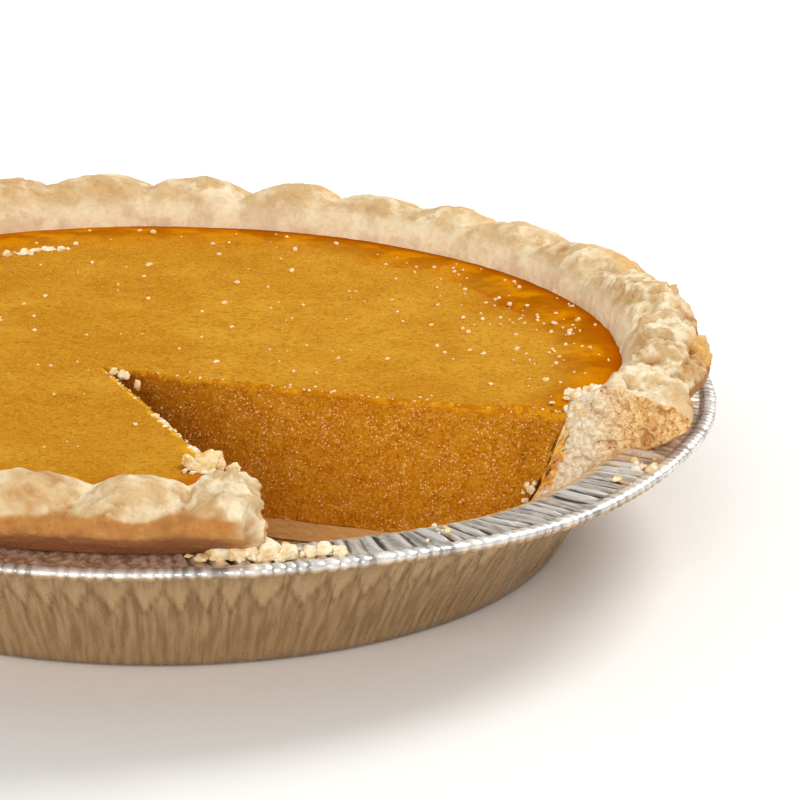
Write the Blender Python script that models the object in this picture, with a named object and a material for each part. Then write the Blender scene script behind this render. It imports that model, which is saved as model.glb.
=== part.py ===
"""A pumpkin pie in its foil tin, with one slice taken out.

Metres, +Z up. The origin is under the centre of the tin's base, on the surface the tin stands on.
The missing slice opens towards the front right (-Y and +X). Its tip lies a little off the pie's centre.

Three pieces, one inside the other: the foil tin, the pastry crust that lines it and stands over
its flange as a crimped edge, and the set filling that the crust holds. The crust and the filling
are swept along rays that start at the slice's tip, so both end exactly on the two cut planes.
"""

import math

import bmesh
import bpy

MM = 0.001

# Foil tin: a nine inch pan with a fluted wall, a flat flange and a rolled rim. Handling has made
# the rim oval, a little wider along X. The stretch grows from nothing at the first radius to its
# whole share at the second.
RIM_RADIUS = 122.0 * MM
OVAL_SHARE = 2.2 / 122
OVAL_FROM = 100.0 * MM
OVAL_FULL = 116.0 * MM
ROLL_RADIUS = 1.8 * MM
FLANGE_INNER_RADIUS = 109.4 * MM
FLANGE_HEIGHT = 31.5 * MM
BASE_RADIUS = 89.6 * MM
BASE_FILLET = 3.0 * MM
PANEL_RADIUS = 79.0 * MM
PANEL_RISE = 2.4 * MM
PANEL_STEP = 2.5 * MM
FOIL = 0.5 * MM
FLUTE_DEPTH = 0.45 * MM
TIN_COLUMNS = 120

# The missing slice: where its tip is, and the headings of its two cuts as seen from the tip.
TIP_X = -13.5 * MM
TIP_Y = -14.6 * MM
FAR_CUT_HEADING = math.radians(-19.3)
NEAR_CUT_HEADING = math.radians(-70.2)

# Pastry crust.
CLEARANCE = 0.3 * MM
BOTTOM_CRUST = 4.5 * MM
CRUST_WALL = 7.5 * MM
CREST_RADIUS = 110.5 * MM
CREST_HEIGHT = 48.6 * MM
EDGE_RADIUS = 119.6 * MM
EDGE_HEIGHT = 42.5 * MM
CRIMPS = 28
FIRST_CRIMP = -3.3
CRIMP_DRIFTS = ((1.8, 1.05), (2.0, 1.08), (2.2, 2.13))
CRIMP_RISE = 1.6 * MM
CRIMP_REACH = 1.1 * MM
CRUST_COLUMNS = 120

# The crust's edge has slumped round this bearing, and its crimps are deeper there.
SAG_BEARING = math.radians(-100)
SAG_SPREAD = math.radians(50)
SAG = 3.2 * MM
SAG_CRIMP_GAIN = 0.5

# Filling.
FILLING_TOP_RADIUS = 101.8 * MM
FILLING_LEVEL = 39.2 * MM
FILLING_SINK = 1.2 * MM
FILLING_COLUMNS = 60


def clear_scene():
    for obj in list(bpy.data.objects):
        bpy.data.objects.remove(obj, do_unlink=True)


def make_material(name, colour, roughness, metallic=0.0):
    """A Principled BSDF with one colour, roughness and metallic value."""
    material = bpy.data.materials.new(name)
    material.use_nodes = True
    shader = material.node_tree.nodes["Principled BSDF"]
    shader.inputs["Base Color"].default_value = (*colour, 1.0)
    shader.inputs["Roughness"].default_value = roughness
    shader.inputs["Metallic"].default_value = metallic
    return material


def add_object(name, mesh_builder, material, smooth_angle=math.radians(35)):
    """Turns a bmesh into a named object with outward faces and smooth shading."""
    bmesh.ops.recalc_face_normals(mesh_builder, faces=mesh_builder.faces)
    mesh = bpy.data.meshes.new(name)
    mesh_builder.to_mesh(mesh)
    mesh_builder.free()
    mesh.shade_smooth()
    mesh.set_sharp_from_angle(angle=smooth_angle)
    mesh.materials.append(material)
    obj = bpy.data.objects.new(name, mesh)
    bpy.context.scene.collection.objects.link(obj)
    return obj


def tin_wall_radius(height):
    """Radius of the tin's inner wall, halfway between flute tops and hollows, at this height."""
    foot = BASE_RADIUS + BASE_FILLET
    share = (height - BASE_FILLET) / (FLANGE_HEIGHT - BASE_FILLET)
    return foot + (FLANGE_INNER_RADIUS - foot) * share


def tin_section():
    """The tin's section from the floor's middle, over the flange, round the rolled rim and back
    underneath. Each point is (radius, height, share of the flutes' depth that it takes)."""
    panel_top = PANEL_RISE + FOIL
    groove = PANEL_RADIUS + PANEL_STEP
    wall_foot = BASE_FILLET + FOIL
    inside = [
        (PANEL_RADIUS, panel_top, 0.0),
        (groove, FOIL, 0.0),
        (BASE_RADIUS - FOIL, FOIL, 0.0),
        (tin_wall_radius(wall_foot) - FOIL / 2, wall_foot, 0.4),
        (FLANGE_INNER_RADIUS, FLANGE_HEIGHT, 1.0),
    ]
    roll_middle = RIM_RADIUS - ROLL_RADIUS
    roll = []
    for step in range(6):
        angle = math.radians(165 - 58 * step)
        radius = roll_middle + ROLL_RADIUS * math.cos(angle)
        height = FLANGE_HEIGHT + ROLL_RADIUS * math.sin(angle)
        roll.append((radius, height, 0.0))
    outside = [
        (FLANGE_INNER_RADIUS + FOIL, FLANGE_HEIGHT - 1.3 * FOIL, 1.0),
        (tin_wall_radius(BASE_FILLET) + FOIL / 2, BASE_FILLET, 0.4),
        (BASE_RADIUS, 0.0, 0.0),
        (groove + FOIL, 0.0, 0.0),
        (PANEL_RADIUS + FOIL, PANEL_RISE, 0.0),
    ]
    return inside + roll + outside


def on_oval(x, y, height):
    """The place of a point of the tin or the crust once its rim is made oval."""
    share = (math.hypot(x, y) - OVAL_FROM) / (OVAL_FULL - OVAL_FROM)
    return (x * (1 + OVAL_SHARE * min(max(share, 0.0), 1.0)), y, height)


def build_tin():
    """The section turned round the axis. Every second column stands in, which makes the flutes."""
    builder = bmesh.new()
    rings = []
    for radius, height, fluted in tin_section():
        ring = []
        for column in range(TIN_COLUMNS):
            angle = 2 * math.pi * column / TIN_COLUMNS
            flute = FLUTE_DEPTH * fluted * (1 if column % 2 else -1)
            reach = radius + flute
            place = on_oval(reach * math.cos(angle), reach * math.sin(angle), height)
            ring.append(builder.verts.new(place))
        rings.append(ring)
    for lower, upper in zip(rings, rings[1:]):
        for column in range(TIN_COLUMNS):
            following = (column + 1) % TIN_COLUMNS
            builder.faces.new((lower[column], lower[following], upper[following], upper[column]))
    floor_middle = builder.verts.new((0, 0, PANEL_RISE + FOIL))
    under_middle = builder.verts.new((0, 0, PANEL_RISE))
    for column in range(TIN_COLUMNS):
        following = (column + 1) % TIN_COLUMNS
        builder.faces.new((floor_middle, rings[0][column], rings[0][following]))
        builder.faces.new((under_middle, rings[-1][following], rings[-1][column]))
    return builder


def crimp_wave(bearing):
    """How far the crimped edge stands up and out at this bearing, from -1 in a hollow to 1 on a
    crest. The crimps were pinched by hand, so their spacing drifts."""
    phase = CRIMPS * bearing + FIRST_CRIMP
    for turns, (drift, start) in enumerate(CRIMP_DRIFTS, 1):
        phase += drift * math.cos(turns * bearing + start)
    strength = 0.8 + 0.2 * math.sin(5 * bearing + 1.0)
    return strength * (2 * abs(math.cos(phase / 2)) - 1)


def sag_share(bearing):
    """1 where the crust's edge has slumped most, fading to 0 away from there."""
    away = (bearing - SAG_BEARING + math.pi) % (2 * math.pi) - math.pi
    return math.exp(-(away / SAG_SPREAD) ** 2)


def outer_crust_radius(height):
    """Radius of the crust's outer side where it lines the tin's wall, clear of the flutes."""
    return tin_wall_radius(height) - FLUTE_DEPTH - FOIL - 2 * CLEARANCE


def holding_surface():
    """The crust's inner side as far as the filling reaches, as (radius, height) points."""
    bottom = PANEL_RISE + FOIL + CLEARANCE + BOTTOM_CRUST
    corner = outer_crust_radius(bottom) - CRUST_WALL
    halfway = 0.5 * (bottom + FILLING_LEVEL)
    waist = 0.5 * (corner + FILLING_TOP_RADIUS)
    return [
        (0.0, bottom),
        (corner - 4.0 * MM, bottom),
        (corner, bottom + 2.5 * MM),
        (waist - 1.0 * MM, halfway),
        (FILLING_TOP_RADIUS, FILLING_LEVEL - 0.6 * MM),
    ]


def crust_section(bearing):
    """Two rows of (radius, height) points from the slice's tip to the crust's outermost edge:
    the side that faces up and holds the filling, and the side that faces the tin."""
    floor = PANEL_RISE + FOIL + CLEARANCE
    seat = FLANGE_HEIGHT + FLUTE_DEPTH + CLEARANCE
    wave = crimp_wave(bearing)
    sag = sag_share(bearing)
    rise = CRIMP_RISE * wave * (1 + SAG_CRIMP_GAIN * sag) - SAG * sag
    reach = CRIMP_REACH * wave
    facing_up = holding_surface() + [
        (FILLING_TOP_RADIUS + 0.9 * MM, FILLING_LEVEL + 4.5 * MM + 0.4 * rise),
        (CREST_RADIUS - 4.0 * MM, CREST_HEIGHT - 0.9 * MM + rise),
        (CREST_RADIUS + 1.0 * MM, CREST_HEIGHT + rise),
        (EDGE_RADIUS - 3.5 * MM + 0.6 * reach, CREST_HEIGHT - 1.7 * MM + rise),
        (EDGE_RADIUS + reach, EDGE_HEIGHT + 2.2 * MM + 0.6 * rise),
    ]
    facing_tin = [
        (0.0, floor),
        (outer_crust_radius(floor) - 3.0 * MM, floor),
        (outer_crust_radius(2 * floor), 2 * floor),
        (outer_crust_radius(0.5 * seat), 0.5 * seat),
        (outer_crust_radius(seat - 3.0 * MM), seat - 3.0 * MM),
        (FLANGE_INNER_RADIUS, seat),
        (FLANGE_INNER_RADIUS + 3.6 * MM, seat + 0.5 * MM),
        (EDGE_RADIUS - 2.6 * MM + 0.5 * reach, EDGE_HEIGHT - 4.2 * MM + 0.3 * rise),
        (EDGE_RADIUS + 0.6 * MM + reach, EDGE_HEIGHT + 0.3 * rise),
    ]
    return facing_up, facing_tin


def filling_section(_bearing):
    """The filling's top, sunk a little towards the middle, and its bottom, in the same form. It
    is the same at every bearing."""
    edge = FILLING_TOP_RADIUS - CLEARANCE
    top = [(0.0, FILLING_LEVEL - FILLING_SINK)]
    for share in (0.45, 0.7, 0.86, 0.97):
        top.append((edge * share, FILLING_LEVEL - FILLING_SINK * (1 - share ** 4)))
    bottom = [(0.0, holding_surface()[0][1] + CLEARANCE)]
    for radius, height in holding_surface()[1:]:
        bottom.append((radius - CLEARANCE, height + CLEARANCE))
    return top, bottom


def column_ray(share):
    """Bearing at the crest, and the unit direction from the slice's tip, of one column of the sweep.
    Share 0 lies in the far cut and share 1 in the near cut, the long way round the pie."""
    ends = []
    for heading in (FAR_CUT_HEADING, NEAR_CUT_HEADING):
        reach = ray_length(math.cos(heading), math.sin(heading), CREST_RADIUS)
        ends.append(math.atan2(TIP_Y + reach * math.sin(heading), TIP_X + reach * math.cos(heading)))
    first, last = ends[0], ends[1] + 2 * math.pi
    bearing = first + (last - first) * share
    away_x = CREST_RADIUS * math.cos(bearing) - TIP_X
    away_y = CREST_RADIUS * math.sin(bearing) - TIP_Y
    length = math.hypot(away_x, away_y)
    return bearing, away_x / length, away_y / length


def ray_length(direction_x, direction_y, radius):
    """How far from the slice's tip a ray meets the circle of this radius round the pie's centre."""
    along = TIP_X * direction_x + TIP_Y * direction_y
    return -along + math.sqrt(along * along - TIP_X ** 2 - TIP_Y ** 2 + radius * radius)


def as_is(x, y, height):
    return (x, y, height)


def build_sweep(section, columns, placed):
    """Sweeps a two-row section round the pie, from one cut to the other, as one closed body.
    Both rows start at the slice's tip, where every column shares one point of each row. The
    function `placed` has the last word on where each point goes."""
    builder = bmesh.new()
    upper_start, lower_start = (row[0] for row in section(0.0))
    upper_tip = builder.verts.new((TIP_X, TIP_Y, upper_start[1]))
    lower_tip = builder.verts.new((TIP_X, TIP_Y, lower_start[1]))
    swept = []
    for column in range(columns + 1):
        bearing, direction_x, direction_y = column_ray(column / columns)
        rows = []
        for tip, row in zip((upper_tip, lower_tip), section(bearing)):
            points = [tip]
            for radius, height in row[1:]:
                reach = ray_length(direction_x, direction_y, radius)
                x = TIP_X + reach * direction_x
                y = TIP_Y + reach * direction_y
                points.append(builder.verts.new(placed(x, y, height)))
            rows.append(points)
        swept.append(rows)
    for here, following in zip(swept, swept[1:]):
        for row_here, row_following in zip(here, following):
            add_strip(builder, row_here, row_following)
        add_face(builder, (here[0][-1], following[0][-1], following[1][-1], here[1][-1]))
    for upper_row, lower_row in (swept[0], swept[-1]):
        builder.faces.new(upper_row + lower_row[::-1])
    return builder


def add_strip(builder, row_a, row_b):
    """Joins two rows of points with faces. Where the rows share their first point, it makes a triangle."""
    for step in range(len(row_a) - 1):
        add_face(builder, (row_a[step], row_a[step + 1], row_b[step + 1], row_b[step]))


def add_face(builder, corners):
    distinct = list(dict.fromkeys(corners))
    builder.faces.new(distinct)


def main():
    clear_scene()
    foil = make_material("foil", (0.62, 0.60, 0.57), roughness=0.3, metallic=1.0)
    pastry = make_material("pastry", (0.84, 0.66, 0.42), roughness=0.8)
    pumpkin = make_material("pumpkin", (0.63, 0.29, 0.035), roughness=0.45)
    add_object("foil_tin", build_tin(), foil)
    add_object("pastry_crust", build_sweep(crust_section, CRUST_COLUMNS, on_oval), pastry)
    add_object("pumpkin_filling", build_sweep(filling_section, FILLING_COLUMNS, as_is), pumpkin)


main()
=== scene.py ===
"""A pumpkin pie in its foil tin, one slice taken out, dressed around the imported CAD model.

Lengths in the geometry are millimetres until mesh_object() and write_points() turn them into
metres. Bearings are anticlockwise from +X as seen from above. The missing slice opens between
the far cut and the near cut, at the front right.
"""

import math

import bmesh
import bpy
import numpy as np
from mathutils import Matrix, Vector, noise


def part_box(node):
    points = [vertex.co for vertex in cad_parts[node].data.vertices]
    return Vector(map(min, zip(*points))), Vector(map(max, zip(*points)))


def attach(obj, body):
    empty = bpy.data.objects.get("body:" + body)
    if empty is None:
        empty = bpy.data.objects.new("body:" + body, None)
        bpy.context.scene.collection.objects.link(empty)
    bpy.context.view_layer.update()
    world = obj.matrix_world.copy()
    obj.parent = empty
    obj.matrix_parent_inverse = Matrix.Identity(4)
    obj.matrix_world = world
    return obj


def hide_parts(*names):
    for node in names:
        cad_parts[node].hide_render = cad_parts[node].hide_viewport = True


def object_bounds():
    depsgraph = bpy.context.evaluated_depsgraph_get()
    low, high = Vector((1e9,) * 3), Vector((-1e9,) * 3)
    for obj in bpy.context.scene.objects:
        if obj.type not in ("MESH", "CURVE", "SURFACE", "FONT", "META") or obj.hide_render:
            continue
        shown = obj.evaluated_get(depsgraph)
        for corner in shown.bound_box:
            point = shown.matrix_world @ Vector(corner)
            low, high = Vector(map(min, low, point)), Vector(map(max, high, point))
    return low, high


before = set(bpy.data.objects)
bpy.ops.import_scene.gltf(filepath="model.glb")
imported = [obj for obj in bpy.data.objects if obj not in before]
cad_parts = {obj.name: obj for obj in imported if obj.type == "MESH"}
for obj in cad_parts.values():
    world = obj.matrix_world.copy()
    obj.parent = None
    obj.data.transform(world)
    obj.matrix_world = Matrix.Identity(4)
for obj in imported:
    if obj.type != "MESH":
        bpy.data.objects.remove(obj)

CAD_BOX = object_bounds()
MM = 0.001
FLOOR_GAP = 0.2 * MM

# Measured on the CAD nodes. The tin is a little wider along X than along Y.
RIM_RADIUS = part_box("foil_tin")[1].y / MM
RIM_REACH_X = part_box("foil_tin")[1].x / MM
CREST_TOP = CAD_BOX[1][2] / MM
FILLING_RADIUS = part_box("pumpkin_filling")[1].y / MM
FILLING_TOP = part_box("pumpkin_filling")[1].z / MM
OVAL = RIM_REACH_X / RIM_RADIUS - 1
OVAL_FROM = 100.0
OVAL_FULL = 116.0

# The tin. Its radii and heights are the CAD's. Its foil is thinner and its folds are finer.
ROLL = 1.8
ROLL_MIDDLE = RIM_RADIUS - ROLL
FLANGE_INNER = 109.4
FLANGE_HEIGHT = 31.5
BASE_RADIUS = 89.6
BASE_FILLET = 3.0
PANEL_RADIUS = 79.0
PANEL_RISE = 2.4
FOIL = 0.3
DEEPEST_CREASE = 1.05
PLEATS = 236
DARTS = 104
TIN_COLUMNS = 1720
# A fold's painted light and shade and a dart's painted highlight are kept as one mark: whole steps, and the
# share of a step.
FOLD_STEPS = 200

# The slice.
TIP = (-13.5, -14.6)
FAR_CUT = math.radians(-19.3)
NEAR_CUT = math.radians(-70.2)
FAR_INTO_GAP = np.array([math.sin(FAR_CUT), -math.cos(FAR_CUT), 0.0])
NEAR_INTO_GAP = np.array([-math.sin(NEAR_CUT), math.cos(NEAR_CUT), 0.0])

# The crust.
CRUST_FLOOR = 3.2
CRUST_BOTTOM = 7.8
CRUST_WALL = 7.5
CREST_RADIUS = 110.5
CRUST_CLEARANCE = 1.55
CRUST_COLUMNS = 900
CRIMPS = 28
FIRST_CRIMP = -3.3
CRIMP_DRIFTS = ((1.8, 1.05), (2.0, 1.08), (2.2, 2.13))
SKEW = 0.11

# Where the crust's edge stands higher or lower: bearing and spread in degrees, lift in mm. The
# first is the slump at the front left, where the crimps are deeper too.
EDGE_LIFTS = ((-100, 50, -3.2), (112, 26, 1.6), (66, 22, -0.8))
CRIMP_GAIN = 0.9
# Sharp creases pinched into the edge near the far cut: bearing and depth.
CREASES = ((-2.5, 0.8), (-14.5, 1.3), (-21.5, 1.0), (3.5, 0.7), (12.0, 0.5))
CREASE_SPREAD = 1.1
# Beside the far cut the crust's edge isn't round: bearings and how far it stands in there.
EDGE_BEARINGS = (-29, -25.5, -22, -16, -13.5, -11.5, -10, -8.4, -5.5, -3, 0, 2, 4.5, 8, 15, 20)
EDGE_INSETS = (-1.4, -0.8, 2.6, 1.9, 1.5, 1.7, 1.0, 2.4, 4.2, 2.8, 1.2, 2.2, 2.8, 1.9, 1.8, 0)

# The filling. Its top runs a little way under the crust, so that no gap shows between them.
FILLING_COLUMNS = 460
UNDER_CRUST = 1.7
# Bright torn dabs on its top beside the near cut: place and size.
DABS = ((-20.0, -89.5, 2.4), (6.6, -69.5, 2.2), (8.6, -73.5, 2.4), (10.0, -77.5, 2.0))


# ---------------------------------------------------------------- numbers

def fractal(points, size, octaves=3, shift=0.0):
    """Fractal noise, about -1 to 1, at each point. The largest lumps are `size` across, and
    another `shift` gives another pattern."""
    places = (np.asarray(points, float) / size + shift).tolist()
    return np.array([noise.fractal(place, 1.0, 2.0, octaves) for place in places])


def cells(points, size, shift=0.0):
    """Distance to the nearest and to the second nearest seed of a Voronoi pattern, in cells."""
    places = (np.asarray(points, float) / size + shift).tolist()
    return np.array([noise.voronoi(place)[0][:2] for place in places]).T


def smoothstep(value, low, high):
    share = np.clip((value - low) / (high - low), 0.0, 1.0)
    return share * share * (3 - 2 * share)


def bell(value, middle, width):
    """1 at the middle and about a third at `width` from it."""
    return np.exp(-((value - middle) / width) ** 2)


def angle_between(bearing, middle):
    """Signed difference of two bearings in radians, from -pi to pi."""
    return (bearing - middle + math.pi) % (2 * math.pi) - math.pi


def near_bearing(bearing, middle, spread):
    """1 at the middle and about a third at `spread` from it, both in degrees."""
    return bell(np.degrees(angle_between(bearing, math.radians(middle))), 0.0, spread)


def patchy(points, size, octaves, shift, low, high):
    """Fractal noise turned into patches from 0 to 1."""
    return smoothstep(fractal(points, size, octaves, shift), low, high)


def around(points):
    """Radius, bearing and height of points about the pie's axis."""
    x, y = points[..., 0], points[..., 1]
    return np.hypot(x, y), np.arctan2(y, x), points[..., 2]


def past_cut(points, into_gap):
    """How far points lie past a cut's plane, towards the gap."""
    return (points[:, 0] - TIP[0]) * into_gap[0] + (points[:, 1] - TIP[1]) * into_gap[1]


def on_circle(bearing):
    """Points of a unit circle, to look up noise that joins up after a full turn."""
    return np.stack([np.cos(bearing), np.sin(bearing), np.zeros_like(bearing)], -1)


def make_oval(points):
    """The tin and the crust's edge are stretched a little along X, more towards the rim."""
    radius = np.hypot(points[..., 0], points[..., 1])
    share = np.clip((radius - OVAL_FROM) / (OVAL_FULL - OVAL_FROM), 0, 1)
    stretched = points.copy()
    stretched[..., 0] *= 1 + OVAL * share
    return stretched


# ---------------------------------------------------------------- meshes

class Shell:
    """Grids and triangles of points that are welded into one closed mesh."""

    def __init__(self):
        self.points = []
        self.faces = []
        self.marks = []
        self.count = 0

    def add(self, points, mark=0.0):
        """Adds points and gives their numbers in the same arrangement. `mark` is kept for each."""
        points = np.asarray(points, float)
        shape = points.shape[:-1]
        self.points.append(points.reshape(-1, 3))
        self.marks.append(np.broadcast_to(mark, shape).reshape(-1))
        numbers = np.arange(self.count, self.count + self.points[-1].shape[0]).reshape(shape)
        self.count += numbers.size
        return numbers

    def grid(self, numbers, wrap=False):
        """Faces between neighbouring rows and columns of an array of point numbers."""
        if wrap:
            numbers = np.concatenate([numbers, numbers[:1]])
        corners = (numbers[:-1, :-1], numbers[1:, :-1], numbers[1:, 1:], numbers[:-1, 1:])
        self.faces.extend(np.stack([c.reshape(-1) for c in corners], 1).tolist())

    def weld(self):
        """Points, marks and faces, with points at the same place joined."""
        points = np.concatenate(self.points)
        marks = np.concatenate(self.marks)
        keys = np.round(points * 1e4).astype(np.int64)
        _, first, back = np.unique(keys, axis=0, return_index=True, return_inverse=True)
        back = back.reshape(-1)
        joined = np.zeros(len(first))
        np.maximum.at(joined, back, marks)
        faces = []
        for face in self.faces:
            corners = list(dict.fromkeys(back[face].tolist()))
            if len(corners) > 2:
                faces.append(corners)
        return points[first], joined, faces


def mesh_object(name, points, faces):
    """A smooth object from points in mm, with its faces turned outwards."""
    mesh = bpy.data.meshes.new(name)
    mesh.from_pydata((np.asarray(points) * MM).tolist(), [], faces)
    builder = bmesh.new()
    builder.from_mesh(mesh)
    bmesh.ops.recalc_face_normals(builder, faces=builder.faces)
    builder.to_mesh(mesh)
    builder.free()
    mesh.shade_smooth()
    obj = bpy.data.objects.new(name, mesh)
    bpy.context.scene.collection.objects.link(obj)
    return obj


def read_points(obj):
    found = np.empty(len(obj.data.vertices) * 3, np.float32)
    obj.data.vertices.foreach_get("co", found)
    return found.reshape(-1, 3).astype(float) / MM


def read_normals(obj):
    found = np.empty(len(obj.data.vertices) * 3, np.float32)
    obj.data.vertex_normals.foreach_get("vector", found)
    return found.reshape(-1, 3).astype(float)


def write_points(obj, points):
    obj.data.vertices.foreach_set("co", (points * MM).astype(np.float32).reshape(-1))
    obj.data.update()


def paint(obj, **numbers):
    """Stores one number for each point under each name, for the material to read."""
    for name, values in numbers.items():
        attribute = obj.data.attributes.new(name, "FLOAT", "POINT")
        attribute.data.foreach_set("value", np.clip(values, 0, 1).astype(np.float32))


# ---------------------------------------------------------------- the sweep between the cuts

def ray_length(direction, radius):
    """How far from the slice's tip rays meet the circle of this radius round the pie's centre."""
    along = TIP[0] * direction[..., 0] + TIP[1] * direction[..., 1]
    return -along + np.sqrt(along ** 2 - TIP[0] ** 2 - TIP[1] ** 2 + radius ** 2)


def sweep_rays(columns):
    """Directions from the slice's tip and bearings at the crest, from the far cut to the near cut.
    They stand closer together beside the cuts."""
    ends = []
    for heading in (FAR_CUT, NEAR_CUT):
        direction = np.array([math.cos(heading), math.sin(heading)])
        reach = ray_length(direction, CREST_RADIUS)
        ends.append(math.atan2(TIP[1] + reach * direction[1], TIP[0] + reach * direction[0]))
    shares = np.linspace(0, 1, columns + 1)
    shares = shares - 0.45 * np.sin(2 * math.pi * shares) / (2 * math.pi)
    bearing = ends[0] + (ends[1] + 2 * math.pi - ends[0]) * shares
    away = np.stack([CREST_RADIUS * np.cos(bearing) - TIP[0], CREST_RADIUS * np.sin(bearing) - TIP[1]], 1)
    return away / np.linalg.norm(away, axis=1, keepdims=True), bearing


def place_on_rays(directions, section, inner=60.0):
    """Points in space of a section of (radius, height) for each ray. A radius below `inner` is a
    share of the way from the tip to that circle, so that rows close in on the tip."""
    radius, height = section[..., 0], section[..., 1]
    rays = directions[:, None, :]
    outside = ray_length(rays, np.maximum(radius, inner))
    inside = ray_length(rays, inner) * radius / inner
    reach = np.where(radius < inner, inside, outside)
    x = TIP[0] + reach * rays[..., 0]
    y = TIP[1] + reach * rays[..., 1]
    return np.stack([x, y, np.broadcast_to(height, x.shape)], -1)


def sweep_shell(upper, lower, keep_upper, keep_lower, across):
    """A closed body between the two cuts. `upper` and `lower` are points by column and row, from
    the tip outwards. The end columns keep every row, the others only the rows listed. Points on
    the cut faces are marked 0.5 at the face's edge to 1 inside it."""
    shell = Shell()
    last = upper.shape[0] - 1
    for rows, keep in ((upper, keep_upper), (lower, keep_lower)):
        shell.grid(shell.add(rows[1:last][:, keep]))
        for end, beside in ((0, 1), (last, last - 1)):
            edge = shell.add(rows[end])
            inner = shell.add(rows[beside][keep])
            for step, (start, stop) in enumerate(zip(keep, keep[1:])):
                for row in range(start, stop):
                    shell.faces.append([inner[step], edge[row], edge[row + 1]])
                shell.faces.append([inner[step], edge[stop], inner[step + 1]])
    shares = np.linspace(0, 1, across + 1)[:, None, None]
    for end in (0, last):
        face = upper[end] * (1 - shares) + lower[end] * shares
        thick = np.linalg.norm(upper[end] - lower[end], axis=1)
        depth = np.minimum(shares, 1 - shares)[..., 0] * thick
        shell.grid(shell.add(face, 0.5 + 0.5 * smoothstep(depth, 0.0, 1.3)))
    rim = np.stack([upper[:, -1], lower[:, -1]], 1)
    if np.abs(rim[:, 0] - rim[:, 1]).max() > 1e-3:
        shell.grid(shell.add(rim))
    return shell


def smooth_rows(controls, counts):
    """Catmull-Rom curves through controls [column, control, 2], with counts[i] steps in span i."""
    padded = np.concatenate([2 * controls[:, :1] - controls[:, 1:2], controls,
                             2 * controls[:, -1:] - controls[:, -2:-1]], 1)
    rows = []
    for span, count in enumerate(counts):
        p0, p1, p2, p3 = (padded[:, span + k][:, None] for k in range(4))
        t = (np.arange(count) / count)[None, :, None]
        rows.append(0.5 * (2 * p1 + (p2 - p0) * t + (2 * p0 - 5 * p1 + 4 * p2 - p3) * t ** 2
                           + (3 * p1 - p0 - 3 * p2 + p3) * t ** 3))
    rows.append(controls[:, -1:])
    return np.concatenate(rows, 1)


def straight_rows(controls, counts):
    """Straight rows through controls [column, control, 2], with counts[i] steps in span i."""
    rows = []
    for span, count in enumerate(counts):
        t = (np.arange(count) / count)[None, :, None]
        rows.append(controls[:, span:span + 1] * (1 - t) + controls[:, span + 1:span + 2] * t)
    rows.append(controls[:, -1:])
    return np.concatenate(rows, 1)


def resample_rows(rows, count):
    """The same rows with another number of evenly stepped points."""
    steps = np.linspace(0, rows.shape[1] - 1, count)
    low = np.minimum(steps.astype(int), rows.shape[1] - 2)
    share = (steps - low)[None, :, None]
    return rows[:, low] * (1 - share) + rows[:, low + 1] * share


def profile(pairs, columns):
    """The same (radius, height) pairs for every column."""
    return np.broadcast_to(np.array(pairs, float), (columns, len(pairs), 2)).copy()


def tin_wall(height):
    """Radius of the tin's wall at this height."""
    foot = BASE_RADIUS + BASE_FILLET
    return foot + (FLANGE_INNER - foot) * (height - BASE_FILLET) / (FLANGE_HEIGHT - BASE_FILLET)


def outer_crust(height):
    """Radius of the crust's outer side where it lines the tin's wall."""
    return tin_wall(height) - CRUST_CLEARANCE


CORNER = outer_crust(CRUST_BOTTOM) - CRUST_WALL
WAIST = 0.5 * (CORNER + FILLING_RADIUS)


def beside_far_cut(bearing, first, spread):
    """1 at the far cut, fading over `spread` radians of bearing."""
    return np.exp(-(bearing - first) / spread)


def thick_side(height):
    """How much further in the crust's wall stands at the far cut itself, in mm."""
    return 4.4 * smoothstep(height, 24.0, 38.0)


def thick_end(height, bearing, first):
    """How much further in the crust's wall stands beside the far cut, in mm."""
    return thick_side(height) * beside_far_cut(bearing, first, 0.07)


def inner_crust(height):
    """Radius of the crust's inner side, where it holds the filling."""
    return np.interp(height, (CRUST_BOTTOM + 2.5, 22.6, 38.2), (CORNER, WAIST - 1, RIM_CONTROLS[0][0]))


# ---------------------------------------------------------------- crust

def crimp_wave(bearing, skew=0.0):
    """The crimped edge's height, from -1 in a hollow to 1 on a crest, as in the CAD."""
    phase = CRIMPS * bearing + FIRST_CRIMP + skew
    for turns, (drift, start) in enumerate(CRIMP_DRIFTS, 1):
        phase = phase + drift * np.cos(turns * bearing + start)
    strength = 0.8 + 0.2 * np.sin(5 * bearing + 1.0)
    return strength * (2 * np.abs(np.cos(phase / 2)) - 1)


def edge_lift(bearing):
    """How far the crust's edge stands above its usual height, in mm."""
    return sum(lift * near_bearing(bearing, middle, spread) for middle, spread, lift in EDGE_LIFTS)


def crease_depth(bearing):
    """The depth of the sharp creases at this bearing, in mm."""
    return sum(depth * near_bearing(bearing, at, CREASE_SPREAD) for at, depth in CREASES)


# Radius and height of the crust's edge, then how far a crimp pushes each point out and up.
RIM_CONTROLS = (
    (102.0, 38.2, 0.0, 0.0),
    (102.4, 41.4, 0.1, 0.2),
    (103.5, 44.2, 0.2, 0.5),
    (105.6, 46.4, 0.3, 1.0),
    (108.4, 47.7, 0.3, 1.6),
    (111.4, 48.0, 0.4, 1.75),
    (114.6, 47.2, 0.5, 1.6),
    (117.5, 45.7, 0.8, 1.2),
    (119.5, 43.6, 1.0, 0.9),
    (120.0, 41.4, 1.0, 0.6),
)
LIP_CONTROLS = (
    (109.4, 32.2, 0.0, 0.0),
    (112.6, 32.5, 0.1, 0.0),
    (114.6, 34.3, 0.3, 0.1),
    (117.2, 36.6, 0.6, 0.2),
    (119.3, 38.9, 0.9, 0.4),
    (120.0, 41.4, 1.0, 0.6),
)
RIM_COUNTS = (5, 6, 6, 8, 8, 8, 8, 7, 6)
LIP_COUNTS = (8, 12, 14, 15, 13)
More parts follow.
